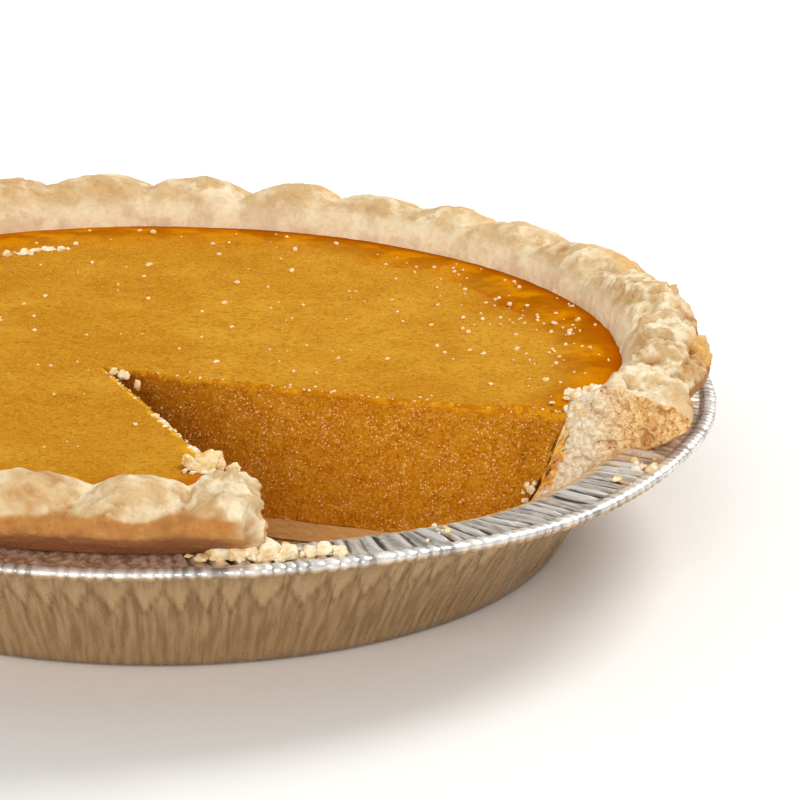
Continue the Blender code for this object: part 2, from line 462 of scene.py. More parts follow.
INNER_COUNTS = (90, 8, 28, 30)
OUTER_COUNTS = (90, 8, 24, 29, 5)


def moved_controls(controls, bearing):
    """Control points for each bearing, with the crimps' rise and reach and hand-made wobble. The
    end at the far cut is rounded off, and the edge dips a little way beyond it."""
    made = np.empty((len(bearing), len(controls), 2))
    circle = on_circle(bearing) * CREST_RADIUS
    degrees = np.degrees(angle_between(bearing, 0.0))
    slump = near_bearing(bearing, *EDGE_LIFTS[0][:2])
    lift = edge_lift(bearing)
    inset = np.interp(degrees, EDGE_BEARINGS, EDGE_INSETS) * (degrees > EDGE_BEARINGS[0] - 1)
    arc = (bearing - bearing[0]) * CREST_RADIUS
    dip = bell(degrees, -1.8, 2.4) + 0.8 * bell(degrees, -13.0, 2.5)
    each = 1 + 0.35 * fractal(circle, 12.0, 1, 6.5)
    for number, (radius, height, reach, rise) in enumerate(controls):
        wave = crimp_wave(bearing, SKEW * (radius - CREST_RADIUS)) * each * (1 + CRIMP_GAIN * slump)
        wave = np.where(wave < 0, 1.45 * wave, wave)
        free = min(rise, 1.0)
        share = min(rise, 1.6) / 1.6
        wobble = fractal(circle, 16.0, 2, 3.1 + 0.02 * radius)
        rounded = bell(arc, 0.0, 7.0) * smoothstep(radius, 103.0, 112.0) * min(rise, 1.6)
        outer = smoothstep(radius, 111.0, 118.0)
        made[:, number, 0] = radius + reach * wave + 0.7 * free * wobble - inset * outer
        made[:, number, 1] = (height + rise * wave + 0.5 * free * fractal(circle, 24.0, 2, 9.7)
                              + lift * share - 3.0 * rounded - crease_depth(bearing) * free
                              - 2.0 * dip * outer * free)
        thick = thick_end(np.minimum(made[:, number, 1], 42.0), bearing, bearing[0])
        made[:, number, 0] -= thick * (radius < 106) * (1 - smoothstep(made[:, number, 1], 41.0, 47.0))
    return made


def crust_rows(bearing):
    """Upper and lower rows of the crust's section at each bearing, from the tip outwards."""
    columns = len(bearing)
    rim = moved_controls(RIM_CONTROLS, bearing)
    lip = moved_controls(LIP_CONTROLS, bearing)
    inner = profile([(0, CRUST_BOTTOM), (CORNER - 4, CRUST_BOTTOM), (CORNER, CRUST_BOTTOM + 2.5),
                     (WAIST - 1, 22.6), RIM_CONTROLS[0][:2]], columns)
    inner[:, -1] = rim[:, 0]
    outer = profile([(0, CRUST_FLOOR), (outer_crust(CRUST_FLOOR) - 3, CRUST_FLOOR),
                     (outer_crust(6.4), 6.4), (outer_crust(16), 16), (outer_crust(29), 29),
                     LIP_CONTROLS[0][:2]], columns)
    upper = np.concatenate([straight_rows(inner, INNER_COUNTS)[:, :-1], smooth_rows(rim, RIM_COUNTS)], 1)
    lower = np.concatenate([straight_rows(outer, OUTER_COUNTS)[:, :-1], smooth_rows(lip, LIP_COUNTS)], 1)
    return upper, resample_rows(lower, upper.shape[1])


def kept_rows(rows, turns, dense_from, step=1):
    """Rows that every column keeps: the tip, the section's turns, and all from `dense_from` on."""
    return sorted({0, *turns, *range(dense_from, rows, step), rows - 1})


def build_crust():
    directions, bearing = sweep_rays(CRUST_COLUMNS)
    upper, lower = crust_rows(bearing)
    rows = upper.shape[1]
    turns_inside = np.cumsum(INNER_COUNTS)
    scale = (rows - 1) / (sum(OUTER_COUNTS) + sum(LIP_COUNTS))
    turns_outside = [round(turn * scale) for turn in np.cumsum(OUTER_COUNTS)]
    keep_upper = kept_rows(rows, [60, *turns_inside[:-1]], int(turns_inside[-1]))
    keep_lower = kept_rows(rows, [60, *turns_outside[:-1]], turns_outside[-1], 3)
    upper_points = place_on_rays(directions, upper)
    lower_points = place_on_rays(directions, lower)
    for points in (upper_points, lower_points):
        bend_ends(points, bearing)
    shell = sweep_shell(make_oval(upper_points), make_oval(lower_points), keep_upper, keep_lower, 24)
    points, cut, faces = shell.weld()
    crust = mesh_object("crust", points, faces)
    shape_crust(crust, cut)
    return crust


def bend_ends(points, bearing):
    """The crust didn't break quite along the knife's cuts. Its ends are uneven, and a piece of the
    near one is gone."""
    radius, _, height = around(points)
    far_arc = (bearing - bearing[0]) * CREST_RADIUS
    near_arc = (bearing[-1] - bearing) * CREST_RADIUS
    belly = 1.8 * bell(height, 45.5, 2.5) - 1.6 * smoothstep(radius, 116.5, 120.0)
    ends = ((far_arc, FAR_INTO_GAP, np.full_like(height, 0.5), 6.0),
            (near_arc, NEAR_INTO_GAP, belly - 4.2, 9.0))
    for arc, into_gap, lean, spread in ends:
        beside = np.flatnonzero(arc < 2.5 * spread)
        near = np.exp(-(arc[beside] / spread) ** 2)[:, None]
        places = points[beside].reshape(-1, 3)
        uneven = 1.5 * fractal(places, 8.0, 2, 90.0) + 0.8 * fractal(places, 3.2, 2, 93.0)
        uneven = uneven.reshape(len(beside), -1)
        rim = smoothstep(radius[beside], 96.0, 106.0) * smoothstep(height[beside], 30.0, 36.0)
        side = smoothstep(radius[beside], 90.0, 97.0) * smoothstep(height[beside], 8.0, 14.0)
        push = near * (rim * (lean[beside] + uneven) + 0.35 * side * (1 - rim) * uneven)
        points[beside] += push[..., None] * into_gap


def crust_relief(points, crest):
    """How far the shown crust's lumps, flakes, knuckles, wrinkles and one crevice stand out, in mm."""
    radius, bearing, _ = around(points)
    degrees = np.degrees(bearing)
    worked = crest * smoothstep(degrees, -40, -32) * (1 - smoothstep(degrees, 8, 24))
    broken_end = crest * bell(degrees, -82.5, 4.5)
    lumps = fractal(points, 9.0, 3, 1.0)
    dents = fractal(points, 3.6, 3, 5.0)
    knuckles = 1 - 2.6 * np.abs(fractal(points, 7.0, 3, 44.0))
    leaves = fractal(points, 9.0, 3, 12.0) * 2.4
    ledge = smoothstep(leaves % 1.0, 0.0, 0.14) - leaves % 1.0
    turn = bearing * CREST_RADIUS / 4.2 + 0.05 * (radius - CREST_RADIUS) ** 2 / 6 + 1.5 * lumps
    wrinkle = (smoothstep(turn % 1.0, 0.0, 0.22) - turn % 1.0) * bell(degrees, -8.5, 7.5) * crest
    wrinkle *= patchy(points, 8.0, 2, 47.0, -0.35, 0.25)
    flaky = patchy(points, 16.0, 2, 11.0, -0.2, 0.35) * crest
    crevice = bell(radius, 117.6 + 0.5 * lumps, 0.8) * bell(degrees, -15.0, 2.0) * crest
    relief = (0.5 * lumps + 0.4 * dents) * (0.6 + 0.4 * crest) + 0.5 * flaky * ledge
    relief += (worked * (0.45 * knuckles + 0.7 * dents + 0.8 * ledge) + 1.3 * wrinkle
               + broken_end * (0.7 * knuckles + 1.0 * dents))
    return relief - 2.0 * crevice


def broken_relief(points, holes):
    """How far the crumbs stand out where the crust is broken, in mm. They fade towards the floor."""
    near, second = cells(points, 1.7, 2.0)
    crumbs = smoothstep(second - near, 0.0, 0.45) - 0.5
    fine = fractal(points, 1.3, 3, 17.0)
    broken = 0.6 * fractal(points, 6.0, 3, 13.0) + 0.85 * fine + 0.2 * crumbs - 1.5 * holes
    return broken * (0.25 + 0.75 * smoothstep(points[:, 2], 9, 20))


def shape_crust(crust, mark):
    """Lumps, flakes, wrinkles and crumbly cuts, and the paint for browning and flour, with painted light and
    shade.
    """
    points = read_points(crust)
    normals = read_normals(crust)
    radius, _, height = around(points)
    on_cut = mark > 0.25
    inside_cut = np.clip(2 * mark - 1, 0, 1)
    shown = smoothstep(height, 33.0, 36.0) * smoothstep(radius, FILLING_RADIUS - 5.0, FILLING_RADIUS + 2.5)
    crest = smoothstep(height, 40.5, 44.5) * smoothstep(radius, 104.0, 107.0)
    relief = crust_relief(points, crest)
    holes = patchy(points, 4.0, 3, 19.0, 0.22, 0.55)
    broken = broken_relief(points, holes)
    offset = np.where(on_cut, inside_cut * broken + 0.6 * (1 - inside_cut) * shown * relief, shown * relief)
    points = points + normals * offset[:, None]
    from_crack = radius + thick_side(height) - inner_crust(height)
    torn = bell(from_crack, 0.0, 1.3) * bell(past_cut(points, FAR_INTO_GAP), 0.0, 5.0)
    torn *= (radius > 80.0) * (points[:, 0] > 0)
    torn *= smoothstep(height, 10.0, 14.0) * (1 - smoothstep(height, 33.0, 38.0))
    torn *= np.maximum(2.6 * fractal(points, 4.0, 2, 95.0) + 1.2 * fractal(points, 1.6, 2, 97.0), -0.5)
    points[:, :2] *= (1 + torn / np.maximum(radius, 1.0))[:, None]
    keep_inside(points)
    write_points(crust, points)
    paint_crust(crust, points, on_cut, crest, shown * relief, holes)


def paint_crust(crust, points, on_cut, crest, relief, holes):
    """The paint that the pastry's material reads, with painted shade in hollows and under the lip and painted
    highlights on raised lumps.
    """
    radius, bearing, height = around(points)
    degrees = np.degrees(bearing)
    ends = sweep_rays(1)[1]
    by_cut = np.minimum(np.abs(angle_between(bearing, ends[0])), np.abs(angle_between(bearing, ends[1])))
    away = smoothstep(by_cut * radius, 3.0, 13.0)
    uneven = fractal(points, 7.0, 3, 27.0)
    below = 1 - smoothstep(height + 0.7 * uneven, 41.4, 43.2)
    # The lowest part of the lip is browned and painted darker as painted shade under the overhang.
    deep = 1 - smoothstep(height + 0.5 * uneven, 36.2, 39.2)
    outside = smoothstep(radius, 110.0, 113.0)
    patches = patchy(points, 10.0, 4, 21.0, 0.10, 0.55)
    gold = patchy(points, 26.0, 2, 25.0, 0.0, 0.5)
    brow = smoothstep(radius, 116.5, 119.5) * patchy(points, 5.0, 3, 28.0, -0.5, 0.3)
    flap = bell(degrees, -12.3, 3.6) * smoothstep(radius + 1.5 * uneven, 116.2, 118.8)
    behind = smoothstep(points[:, 1] / np.maximum(radius, 1.0), -0.1, 0.25)
    edge_line = smoothstep(radius, 113.0, 115.0) * patchy(points, 9.0, 3, 29.0, -0.5, 0.2)
    pale_end = bell(degrees, -83.0, 6.5) + 0.7 * bell(degrees, -26.0, 5.0)
    # Hollows of the relief are painted browner: painted shade.
    low = np.clip(-relief / 0.9, 0, 1) * (1 - 0.8 * pale_end)
    # toast: browning, with painted shade in the lowest part of the lip and in hollows.
    toast = (outside * (0.2 + 0.8 * away) * (0.54 * below + 0.46 * deep) + 0.14 * brow
             + 0.13 * edge_line * crest + 0.3 * patches * crest * (0.3 + 0.7 * gold)
             + 0.08 * flap + 0.55 * low * crest)
    inwards = smoothstep(radius, 100.0, 113.0)
    spotted = 0.6 * holes + 0.3 * patchy(points, 8.0, 3, 31.0, 0.0, 0.6)
    crumb_tone = 0.30 * inwards + (0.45 + 0.7 * inwards) * spotted
    # Raised lumps are painted paler: a painted highlight, along with the flour.
    flour = np.clip(0.35 + 0.5 * pale_end + 0.5 * fractal(points, 11.0, 2, 41.0) + relief / 1.2, 0, 1)
    inner_side = radius + thick_side(height) - inner_crust(height) + 2.0 * fractal(points, 2.2, 3, 35.0)
    paint(crust,
          toast=np.where(on_cut, crumb_tone, toast),
          cut=on_cut * 1.0,
          golden=(0.85 * flap + 0.5 * behind * edge_line * crest) * ~on_cut,
          outer=inwards,
          flour=flour * (1 - toast) * (1 - 0.8 * flap),
          slope=(1 - smoothstep(height, 43.0, 47.0)) * (1 - smoothstep(radius, 105, 108.5)),
          soggy=on_cut * (1 - smoothstep(height, 7.5, 10.5)),
          stain=((1 - smoothstep(inner_side, 1.1, 1.8)) * smoothstep(height, 10, 13)
                 * (1 - smoothstep(height, 36, 39))))


RIM_MARGIN = 0.05
TOP_MARGIN = 0.02


def keep_inside(points):
    """Holds points inside the CAD model's outline."""
    reach = np.hypot(points[:, 0] / (1 + OVAL), points[:, 1])
    points[:, :2] *= np.minimum(1.0, (RIM_RADIUS - RIM_MARGIN) / np.maximum(reach, 1.0))[:, None]
    points[:, 2] = np.clip(points[:, 2], 0.0, CREST_TOP - TOP_MARGIN)


# ---------------------------------------------------------------- filling

def puff_wander(bearing):
    """How far the puffed ring strays from a true circle, in mm."""
    return 1.5 * np.sin(3 * bearing + 0.6) + 0.8 * np.sin(8 * bearing + 2.0)


def ring_crease(radius, bearing):
    """1 in the crease inside the puffed ring, at the right of the pie."""
    return bell(radius, 86.5 + 1.6 * puff_wander(bearing), 0.9) * bell(
        angle_between(bearing, math.radians(26)), 0.0, 0.2)


def filling_height(x, y):
    """Height of the filling's top: level, puffed in a ring near the crust, with a crease inside it."""
    radius = np.hypot(x, y)
    bearing = np.arctan2(y, x)
    flat = np.stack([x, y, np.zeros_like(x)], -1).reshape(-1, 3)
    sink = -1.1 * (1 - (np.minimum(radius, FILLING_RADIUS) / FILLING_RADIUS) ** 4)
    swell = 0.30 * fractal(flat, 55.0, 2, 50.0).reshape(x.shape)
    puff = 0.65 * bell(radius, 94.0 + puff_wander(bearing), 4.5)
    edge = -0.15 * smoothstep(radius, FILLING_RADIUS - 1.5, FILLING_RADIUS + 1.0)
    return FILLING_TOP + 0.15 + sink + swell + puff - 1.0 * ring_crease(radius, bearing) + edge


def shrink_from_crust(points, bearing):
    """Pulls the filling's side in beside the far cut, where the crust is thicker and a crack runs."""
    radius, _, height = around(points)
    first = bearing[0]
    bearing = np.broadcast_to(bearing[:, None], radius.shape)
    crack = smoothstep(height, 9.0, 13.0) * (1 - smoothstep(height, 33.0, 37.5))
    edge = smoothstep(radius, 80.0, 90.0)
    gap = edge * (thick_end(height, bearing, first) + 1.1 * crack * beside_far_cut(bearing, first, 0.10))
    points[..., :2] *= (1 - gap / np.maximum(radius, 1.0))[..., None]


def build_filling():
    directions, bearing = sweep_rays(FILLING_COLUMNS)
    count = len(bearing)
    top = profile([(0, 0), (30, 0), (52, 0), (74, 0), (90, 0), (FILLING_RADIUS + UNDER_CRUST, 0)], count)
    upper = place_on_rays(directions, straight_rows(top, (57, 39, 39, 42, 63)))
    rows = upper.shape[1]
    floor = CRUST_BOTTOM - 0.1
    bottom = profile([(0, floor), (CORNER - 4.0, floor), (CORNER - 0.2, floor + 2.5), (WAIST - 1.2, 22.9),
                      (FILLING_RADIUS, FILLING_TOP - 1.6)], count)
    turns = (156, 12, 34, 38)
    lower = place_on_rays(directions, resample_rows(straight_rows(bottom, turns), rows))
    upper[..., 2] = filling_height(upper[..., 0], upper[..., 1])
    for points in (upper, lower):
        shrink_from_crust(points, bearing)
    lower[:, -1] = upper[:, -1]
    keep_lower = kept_rows(rows, [80, *np.cumsum(turns)[:-1]], rows - 1)
    shell = sweep_shell(upper, lower, list(range(0, rows, 3)), keep_lower, 70)
    points, cut, faces = shell.weld()
    filling = mesh_object("filling", points, faces)
    shape_filling(filling, cut)
    return filling


def shape_filling(filling, cut):
    """The grainy cut faces, dragged edge and fine dimples."""
    points = read_points(filling)
    normals = read_normals(filling)
    radius, _, height = around(points)
    on_cut = cut > 0.25
    inside_cut = np.clip(2 * cut - 1, 0, 1)
    on_top = smoothstep(normals[:, 2], 0.5, 0.9) * ~on_cut
    below_edge = FILLING_TOP - height
    grain = 0.26 * fractal(points, 3.2, 3, 60.0) + 0.14 * fractal(points, 1.1, 2, 64.0)
    drag = 0.5 * fractal(points * (1, 1, 0.5), 13.0, 2, 68.0)
    near, _ = cells(points, 2.4, 70.0)
    pits = -0.4 * (1 - smoothstep(near, 0.08, 0.22)) * (fractal(points, 9.0, 2, 71.0) > 0.15)
    dimples = 0.06 * fractal(points, 2.4, 3, 72.0)
    lip = bell(below_edge, 0.9, 1.1) * (0.3 + 0.7 * fractal(points, 4.0, 3, 75.0))
    face = inside_cut * (grain + pits + lip) + drag
    points = points + normals * np.where(on_cut, face, on_top * dimples)[:, None]
    torn = smoothstep(radius, 86.0, 92.0) * bell(past_cut(points, FAR_INTO_GAP), 0.0, 5.0)
    torn *= smoothstep(below_edge, 1.0, 5.0)
    torn *= np.maximum(3.6 * fractal(points, 5.0, 2, 78.0) + 1.3 * fractal(points, 1.8, 2, 79.0), -0.9)
    points[:, :2] *= (1 - torn / np.maximum(radius, 1.0))[:, None]
    write_points(filling, points)
    paint_filling(filling, points, radius, below_edge, on_cut)


def paint_filling(filling, points, radius, below_edge, on_cut):
    """The paint that the filling's material reads."""
    x, y = points[:, 0], points[:, 1]
    ragged = 2.4 * fractal(points, 18.0, 4, 80.0)
    broken_out = bell(x, 10.5, 6.0) * bell(y, -89.0, 6.0)
    stained = bell(x, 79.0, 6.0) * bell(y, 33.0, 5.0) * (0.6 + fractal(points, 5.0, 3, 86.0))
    crease = ring_crease(radius, np.arctan2(y, x))
    # The ring's crease is painted darker along with the browned rim: painted shade in the crease.
    brown_and_shade = smoothstep(radius + 0.5 * ragged, 97.0, 101.0) + 1.5 * broken_out + 0.9 * crease
    wander = 0.9 * fractal(points, 4.0, 3, 82.0)
    near_cut = past_cut(points, NEAR_INTO_GAP)
    beside_near = 0.7 * smoothstep(near_cut + wander, -1.1, -0.2) * (y < TIP[1]) * (near_cut < 2.0)
    dabs = sum(bell(np.hypot(x - at_x, y - at_y) + 1.2 * wander, 0.0, size) for at_x, at_y, size in DABS)
    from_tip = np.hypot(x - TIP[0], y - TIP[1])
    shaded = 0.35 * smoothstep(radius, 80.0, 92.0) * patchy(points, 9.0, 2, 88.0, -0.5, 0.3)
    paint(filling,
          cut=on_cut * 1.0,
          ring=(smoothstep(radius + 1.5 * ragged, 82.5, 97.5) + 0.9 * stained) * ~on_cut,
          edge=brown_and_shade * ~on_cut,
          # lip: a painted highlight along the cut faces' top edge, where light shines through the custard.
          lip=on_cut * (1 - smoothstep(below_edge + wander, 1.0, 3.2)),
          bright=(beside_near + 1.3 * dabs) * ~on_cut,
          blotch=patchy(points, 30.0, 3, 84.0, -0.5, 0.5),
          # deep: painted shade on the cut faces, towards the tip and in patches near the crust.
          deep=on_cut * np.maximum(1 - smoothstep(from_tip, 3.0, 50.0), shaded))


# ---------------------------------------------------------------- tin

def pleat_phase(bearing):
    """Position in the run of pleats pressed into the foil, one pleat for each whole number."""
    return PLEATS * bearing / (2 * math.pi) + 0.7 * fractal(on_circle(bearing), 0.12, 2, 100.0)


def fold(phase, lean=0.5):
    """A triangle wave from 0 to 1 whose crest sits at `lean` of each pleat."""
    share = phase % 1.0
    return np.where(share < lean, share / lean, (1 - share) / (1 - lean))


def tin_outside():
    """(radius, height) from the flange's outer edge back down the wall and in under the floor."""
    path = [(ROLL_MIDDLE - 1.3, FLANGE_HEIGHT), (ROLL_MIDDLE - 4.0, FLANGE_HEIGHT - 0.8),
            (FLANGE_INNER + 0.4, FLANGE_HEIGHT - 0.8)]
    path += [(tin_wall(height), height) for height in np.linspace(FLANGE_HEIGHT - 0.4, BASE_FILLET, 17)]
    for angle in np.radians((36, 0)):
        reach = BASE_FILLET * 1.02
        path.append((BASE_RADIUS - 0.2 + reach * math.sin(angle), reach * (1 - math.cos(angle))))
    path += [(82.6, 0.0), (80.2, 1.2), (PANEL_RADIUS, PANEL_RISE - 0.2), (76.0, PANEL_RISE)]
    return np.array(path + [(0.0, PANEL_RISE)])


def tin_inside():
    """(radius, height) from the middle of the floor, up the wall and out over the flange."""
    path = [(0.0, PANEL_RISE), (76.0, PANEL_RISE), (PANEL_RADIUS, PANEL_RISE - 0.2), (82.6, 0.0),
            (BASE_RADIUS + 1.2, 0.8)]
    path += [(tin_wall(height), height) for height in (BASE_FILLET, 12, 21, FLANGE_HEIGHT - 0.5)]
    path += [(radius, FLANGE_HEIGHT) for radius in np.linspace(FLANGE_INNER + 0.4, ROLL_MIDDLE - 1.3, 10)]
    inside = np.array(path)
    on_wall = (inside[:, 1] > 1.0) & (inside[:, 0] > BASE_RADIUS) & (inside[:, 0] < FLANGE_INNER)
    inside[:, 0] -= np.where(on_wall, DEEPEST_CREASE + 0.1, 0.0)
    inside[:, 1] += np.where(on_wall, 0.5 * FOIL, FOIL)
    return inside


def build_tin():
    """Both sides of the foil and the rolled rim between them, as rows round the axis."""
    bearing = np.linspace(0, 2 * math.pi, TIN_COLUMNS, endpoint=False)
    parts = [pressed_foil(tin_inside(), bearing, False), rolled_rim(bearing),
             pressed_foil(tin_outside(), bearing, True)]
    section = np.concatenate([part[0] for part in parts], 1)
    fold_light_and_shade = np.concatenate([part[1] for part in parts], 1)
    darts = np.concatenate([part[2] for part in parts], 1)
    radius, height = section[..., 0], section[..., 1]
    rows = np.stack([radius * np.cos(bearing)[:, None], radius * np.sin(bearing)[:, None], height], -1)
    shell = Shell()
    shell.grid(shell.add(make_oval(rows), np.floor(fold_light_and_shade * FOLD_STEPS) + np.clip(darts, 0, 0.99)), wrap=True)
    points, marks, faces = shell.weld()
    keep_inside(points)
    tin = mesh_object("tin", points, faces)
    # fold holds the folds' and rim's painted light and shade; dart is where the darts are painted lighter as
    # a painted highlight.
    paint(tin, fold=np.floor(marks) / FOLD_STEPS, dart=marks % 1.0)
    paint_tin(tin)
    return tin


def rim_bend(bearing):
    """How the handled foil rim dips and rises, in mm."""
    dip = -0.7 * bell(angle_between(bearing, math.radians(-52)), 0.0, 0.20)
    rise = 1.0 * bell(angle_between(bearing, math.radians(-28)), 0.0, 0.15)
    return dip + rise + 0.4 * fractal(on_circle(bearing), 0.5, 2, 110.0)


def rim_push(bearing):
    """How far the rim is pushed in from its true outline, in mm."""
    return -0.3 + 0.3 * np.clip(fractal(on_circle(bearing), 0.45, 2, 120.0), -1, 1)


def brown_below_crust(bearing):
    """1 where the flange is painted brown below the crust, at the front left,
    and a quarter elsewhere."""
    return 0.25 + 0.75 * smoothstep(-np.abs(angle_between(bearing, math.radians(-122))), -0.66, -0.54)


def pressed_foil(path, bearing, outside):
    """(radius, height) of one side of the foil for each bearing and path point, with crimps on the
    flange and darts and creases on the wall. Then the folds' painted light and shade, and where the darts are
    painted lighter."""
    columns, rows = len(bearing), len(path)
    radius = np.broadcast_to(path[:, 0], (columns, rows)).copy()
    height = np.broadcast_to(path[:, 1], (columns, rows)).copy()
    places = np.stack([radius * np.cos(bearing)[:, None], radius * np.sin(bearing)[:, None], height], -1)
    flat = places.reshape(-1, 3)
    wander = fractal(flat * (1, 1, 0.5), 18.0, 2, 130.0).reshape(columns, rows)
    strength = np.clip(0.75 + 0.9 * fractal(flat, 12.0, 2, 135.0).reshape(columns, rows), 0.1, 1.6)
    on_wall = smoothstep(height, 1.5, 5.0) * (radius < FLANGE_INNER + 0.1) * (radius > BASE_RADIUS)
    on_flange = smoothstep(radius, FLANGE_INNER - 0.3, FLANGE_INNER + 1.2)

    turn = DARTS * bearing[:, None] / (2 * math.pi) + 0.5 * wander
    wide = np.clip(0.42 * (height - 15.5) / 5.5, 0.001, 0.42)
    dart = np.clip(2.2 * (1 - np.abs(turn % 1.0 - 0.5) / wide), 0, 1) * (1 - smoothstep(height, 20.5, 24.0))
    outline = bell(np.abs(turn % 1.0 - 0.5), wide + 0.06, 0.07)
    outline *= smoothstep(height, 13.0, 15.0) * (1 - smoothstep(height, 20.0, 23.0))
    phase = pleat_phase(bearing)[:, None]
    creases = fold(phase * 1.31 + 1.2 * wander, 0.35)
    sharp = fold(phase * 3.1 + 2.2 * wander + 0.3, 0.7)
    low = 1 - 0.6 * smoothstep(height, 13.0, 20.0)
    dents = np.minimum(0.6 * dart + strength * low * (0.42 * creases + 0.2 * sharp), DEEPEST_CREASE)
    radius -= on_wall * (dents if outside else 0.35 * creases)
    radius += smoothstep(height, 20, FLANGE_HEIGHT) * rim_push(bearing)[:, None]

    power = 0.15 + 1.2 * (np.sin(np.floor(phase + 0.9 * wander) * 12.9898) * 43758.5453 % 1.0)
    across = (phase + 0.9 * wander) % 1.0
    ridge = bell(across, 0.34, 0.20) * power
    valley = bell(across, 0.76, 0.13) * power
    small = fold(phase * 1.7 + 1.5 * wander, 0.6) - 0.5
    window = on_flange * (1 - 0.85 * smoothstep(radius, ROLL_MIDDLE - 5.5, ROLL_MIDDLE - 1.4))
    window *= (1 - 0.5 * brown_below_crust(bearing))[:, None] * (0.4 if outside else 1.0)
    height += window * (0.6 * ridge - 0.7 * valley + 0.3 * small * strength)
    height += smoothstep(height, 12, FLANGE_HEIGHT) * rim_bend(bearing)[:, None]
    thin = fold(phase * 3.3 + 2.6 * wander, 0.3) - 0.5
    # Painted light and shade: dark in the valleys, bright on the ridges, dark on the darts' outlines and the
    # wall's creases.
    shade = 0.52 + window * (1.1 * valley - 0.78 * ridge + 0.35 * (small + thin) * strength)
    shade = shade + on_wall * (0.38 * outline + 0.4 * (creases - 0.5) * strength * low * (1 - dart))
    return np.stack([radius, height], -1), np.clip(shade, 0, 0.99), on_wall * dart


def rolled_rim(bearing):
    """The rolled rim, notched by the pleats that run into it."""
    angles = np.radians(np.linspace(150, -215, 14))[None, :]
    phase = pleat_phase(bearing)[:, None]
    wander = fractal(on_circle(bearing) * RIM_RADIUS, 9.0, 2, 140.0)[:, None]
    notch = 0.08 * fold(phase * 0.5 + 1.3 * wander, 0.3) ** 6
    notch = notch + 0.22 * fold(phase * 1.2 + 0.9 * wander, 0.45) ** 2
    size = ROLL * (1 - notch)
    radius = ROLL_MIDDLE - 0.1 + rim_push(bearing)[:, None] + size * np.cos(angles)
    flat_top = np.where(np.sin(angles) > 0, 0.55, 0.95)
    height = FLANGE_HEIGHT + rim_bend(bearing)[:, None] + size * flat_top * np.sin(angles)
    # The rim's fold paint is painted light and shade: bright dots as painted highlights, darker in the
    # notches and along stretches that wander round.
    shaded_stretch = np.clip(0.12 + 1.1 * wander, -0.1, 0.32)
    fold_light_and_shade = np.broadcast_to(np.clip(0.2 + 2.4 * notch + shaded_stretch, 0, 0.74), radius.shape)
    return np.stack([radius, height], -1), fold_light_and_shade, np.zeros(radius.shape)


def paint_tin(tin):
    points = read_points(tin)
    normals = read_normals(tin)
    up = normals[:, 2]
    outwards = normals[:, 0] * points[:, 0] + normals[:, 1] * points[:, 1]
    radius = np.hypot(points[:, 0] / (1 + OVAL), points[:, 1])
    under = 1 - smoothstep(points[:, 2], FLANGE_HEIGHT - 0.6, FLANGE_HEIGHT + 0.4)
    inside = (outwards / np.maximum(radius, 1.0) < -0.2) | (radius < BASE_RADIUS - 1.0)
    bearing = np.arctan2(points[:, 1], points[:, 0])
    middle = 0.5 * (FAR_CUT + NEAR_CUT) + math.pi
    covered = 1 - smoothstep(np.abs(angle_between(bearing, middle)), math.pi - 0.50, math.pi - 0.42)
    spread_out = 1 - smoothstep(radius + 1.2 * fractal(points, 5.0, 3, 150.0), 118.0, 120.4)
    beside_end = 0.8 * bell(np.degrees(bearing), -24.0, 7.0)
    baked = np.maximum(brown_below_crust(bearing) * covered, beside_end)
    paint(tin,
          # wall: the tin's outer side below the flange, painted tan as a painted reflection of a brown
          # table-top.
          wall=np.where(up < 0.25, under, 0.0),
          floor=np.where((up > 0.25) & inside, (radius < FLANGE_INNER) * 1.0, 0.0),
          # low: that painted reflection darker towards the bottom.
          low=1 - smoothstep(points[:, 2], 0.0, 26.0),
          # roll: the rolled rim, painted paler as a painted highlight.
          roll=smoothstep(radius, ROLL_MIDDLE - 2.4, ROLL_MIDDLE - 1.2),
          # baked: brown painted on the flange below the crust and beside the crust's far end.
          baked=baked * spread_out * (up > 0.2) * (radius > FLANGE_INNER))


# ---------------------------------------------------------------- crumbs and specks

def ball(detail):
    """Points and triangles of a unit ball."""
    builder = bmesh.new()
    bmesh.ops.create_icosphere(builder, subdivisions=detail, radius=1.0)
    points = np.array([vertex.co[:] for vertex in builder.verts])
    faces = [[vertex.index for vertex in face.verts] for face in builder.faces]
    builder.free()
    return points, faces


def random_turn(rng):
    return np.array(Matrix.Rotation(rng.uniform(0, 6.28), 3, Vector(rng.normal(size=3)).normalized()))


def joined_lumps(name, lumps, detail, rough, rng, chips=8):
    """One mesh of irregular lumps. Each lump is (place, size along its own three axes). It is a
    ball with `chips` flat breaks and a rough skin."""
    unit, faces = ball(detail)
    points = []
    joined = []
    for number, (place, size) in enumerate(lumps):
        breaks = rng.normal(size=(chips, 3))
        breaks /= np.linalg.norm(breaks, axis=1, keepdims=True)
        reach = rng.uniform(0.55, 0.95, chips) / np.maximum(unit @ breaks.T, 1e-3)
        knobbly = np.minimum(reach.min(axis=1), 1.0) * (1 + rough * fractal(unit + number * 7.3, 0.8, 3))
        spin = np.array(Matrix.Rotation(rng.uniform(0, 6.28), 3, "Z"))
        lump = (unit * knobbly[:, None]) @ random_turn(rng).T * np.asarray(size)
        points.append(lump @ spin.T + np.asarray(place))
        joined += [[corner + number * len(unit) for corner in face] for face in faces]
    points = np.concatenate(points)
    keep_inside(points)
    return mesh_object(name, points, joined)


def polar(bearing_degrees, radius):
    angle = math.radians(bearing_degrees)
    return radius * math.cos(angle), radius * math.sin(angle)


def level_at(x, y):
    """Height of the filling's top at one place."""
    return float(filling_height(np.array([x]), np.array([y]))[0])


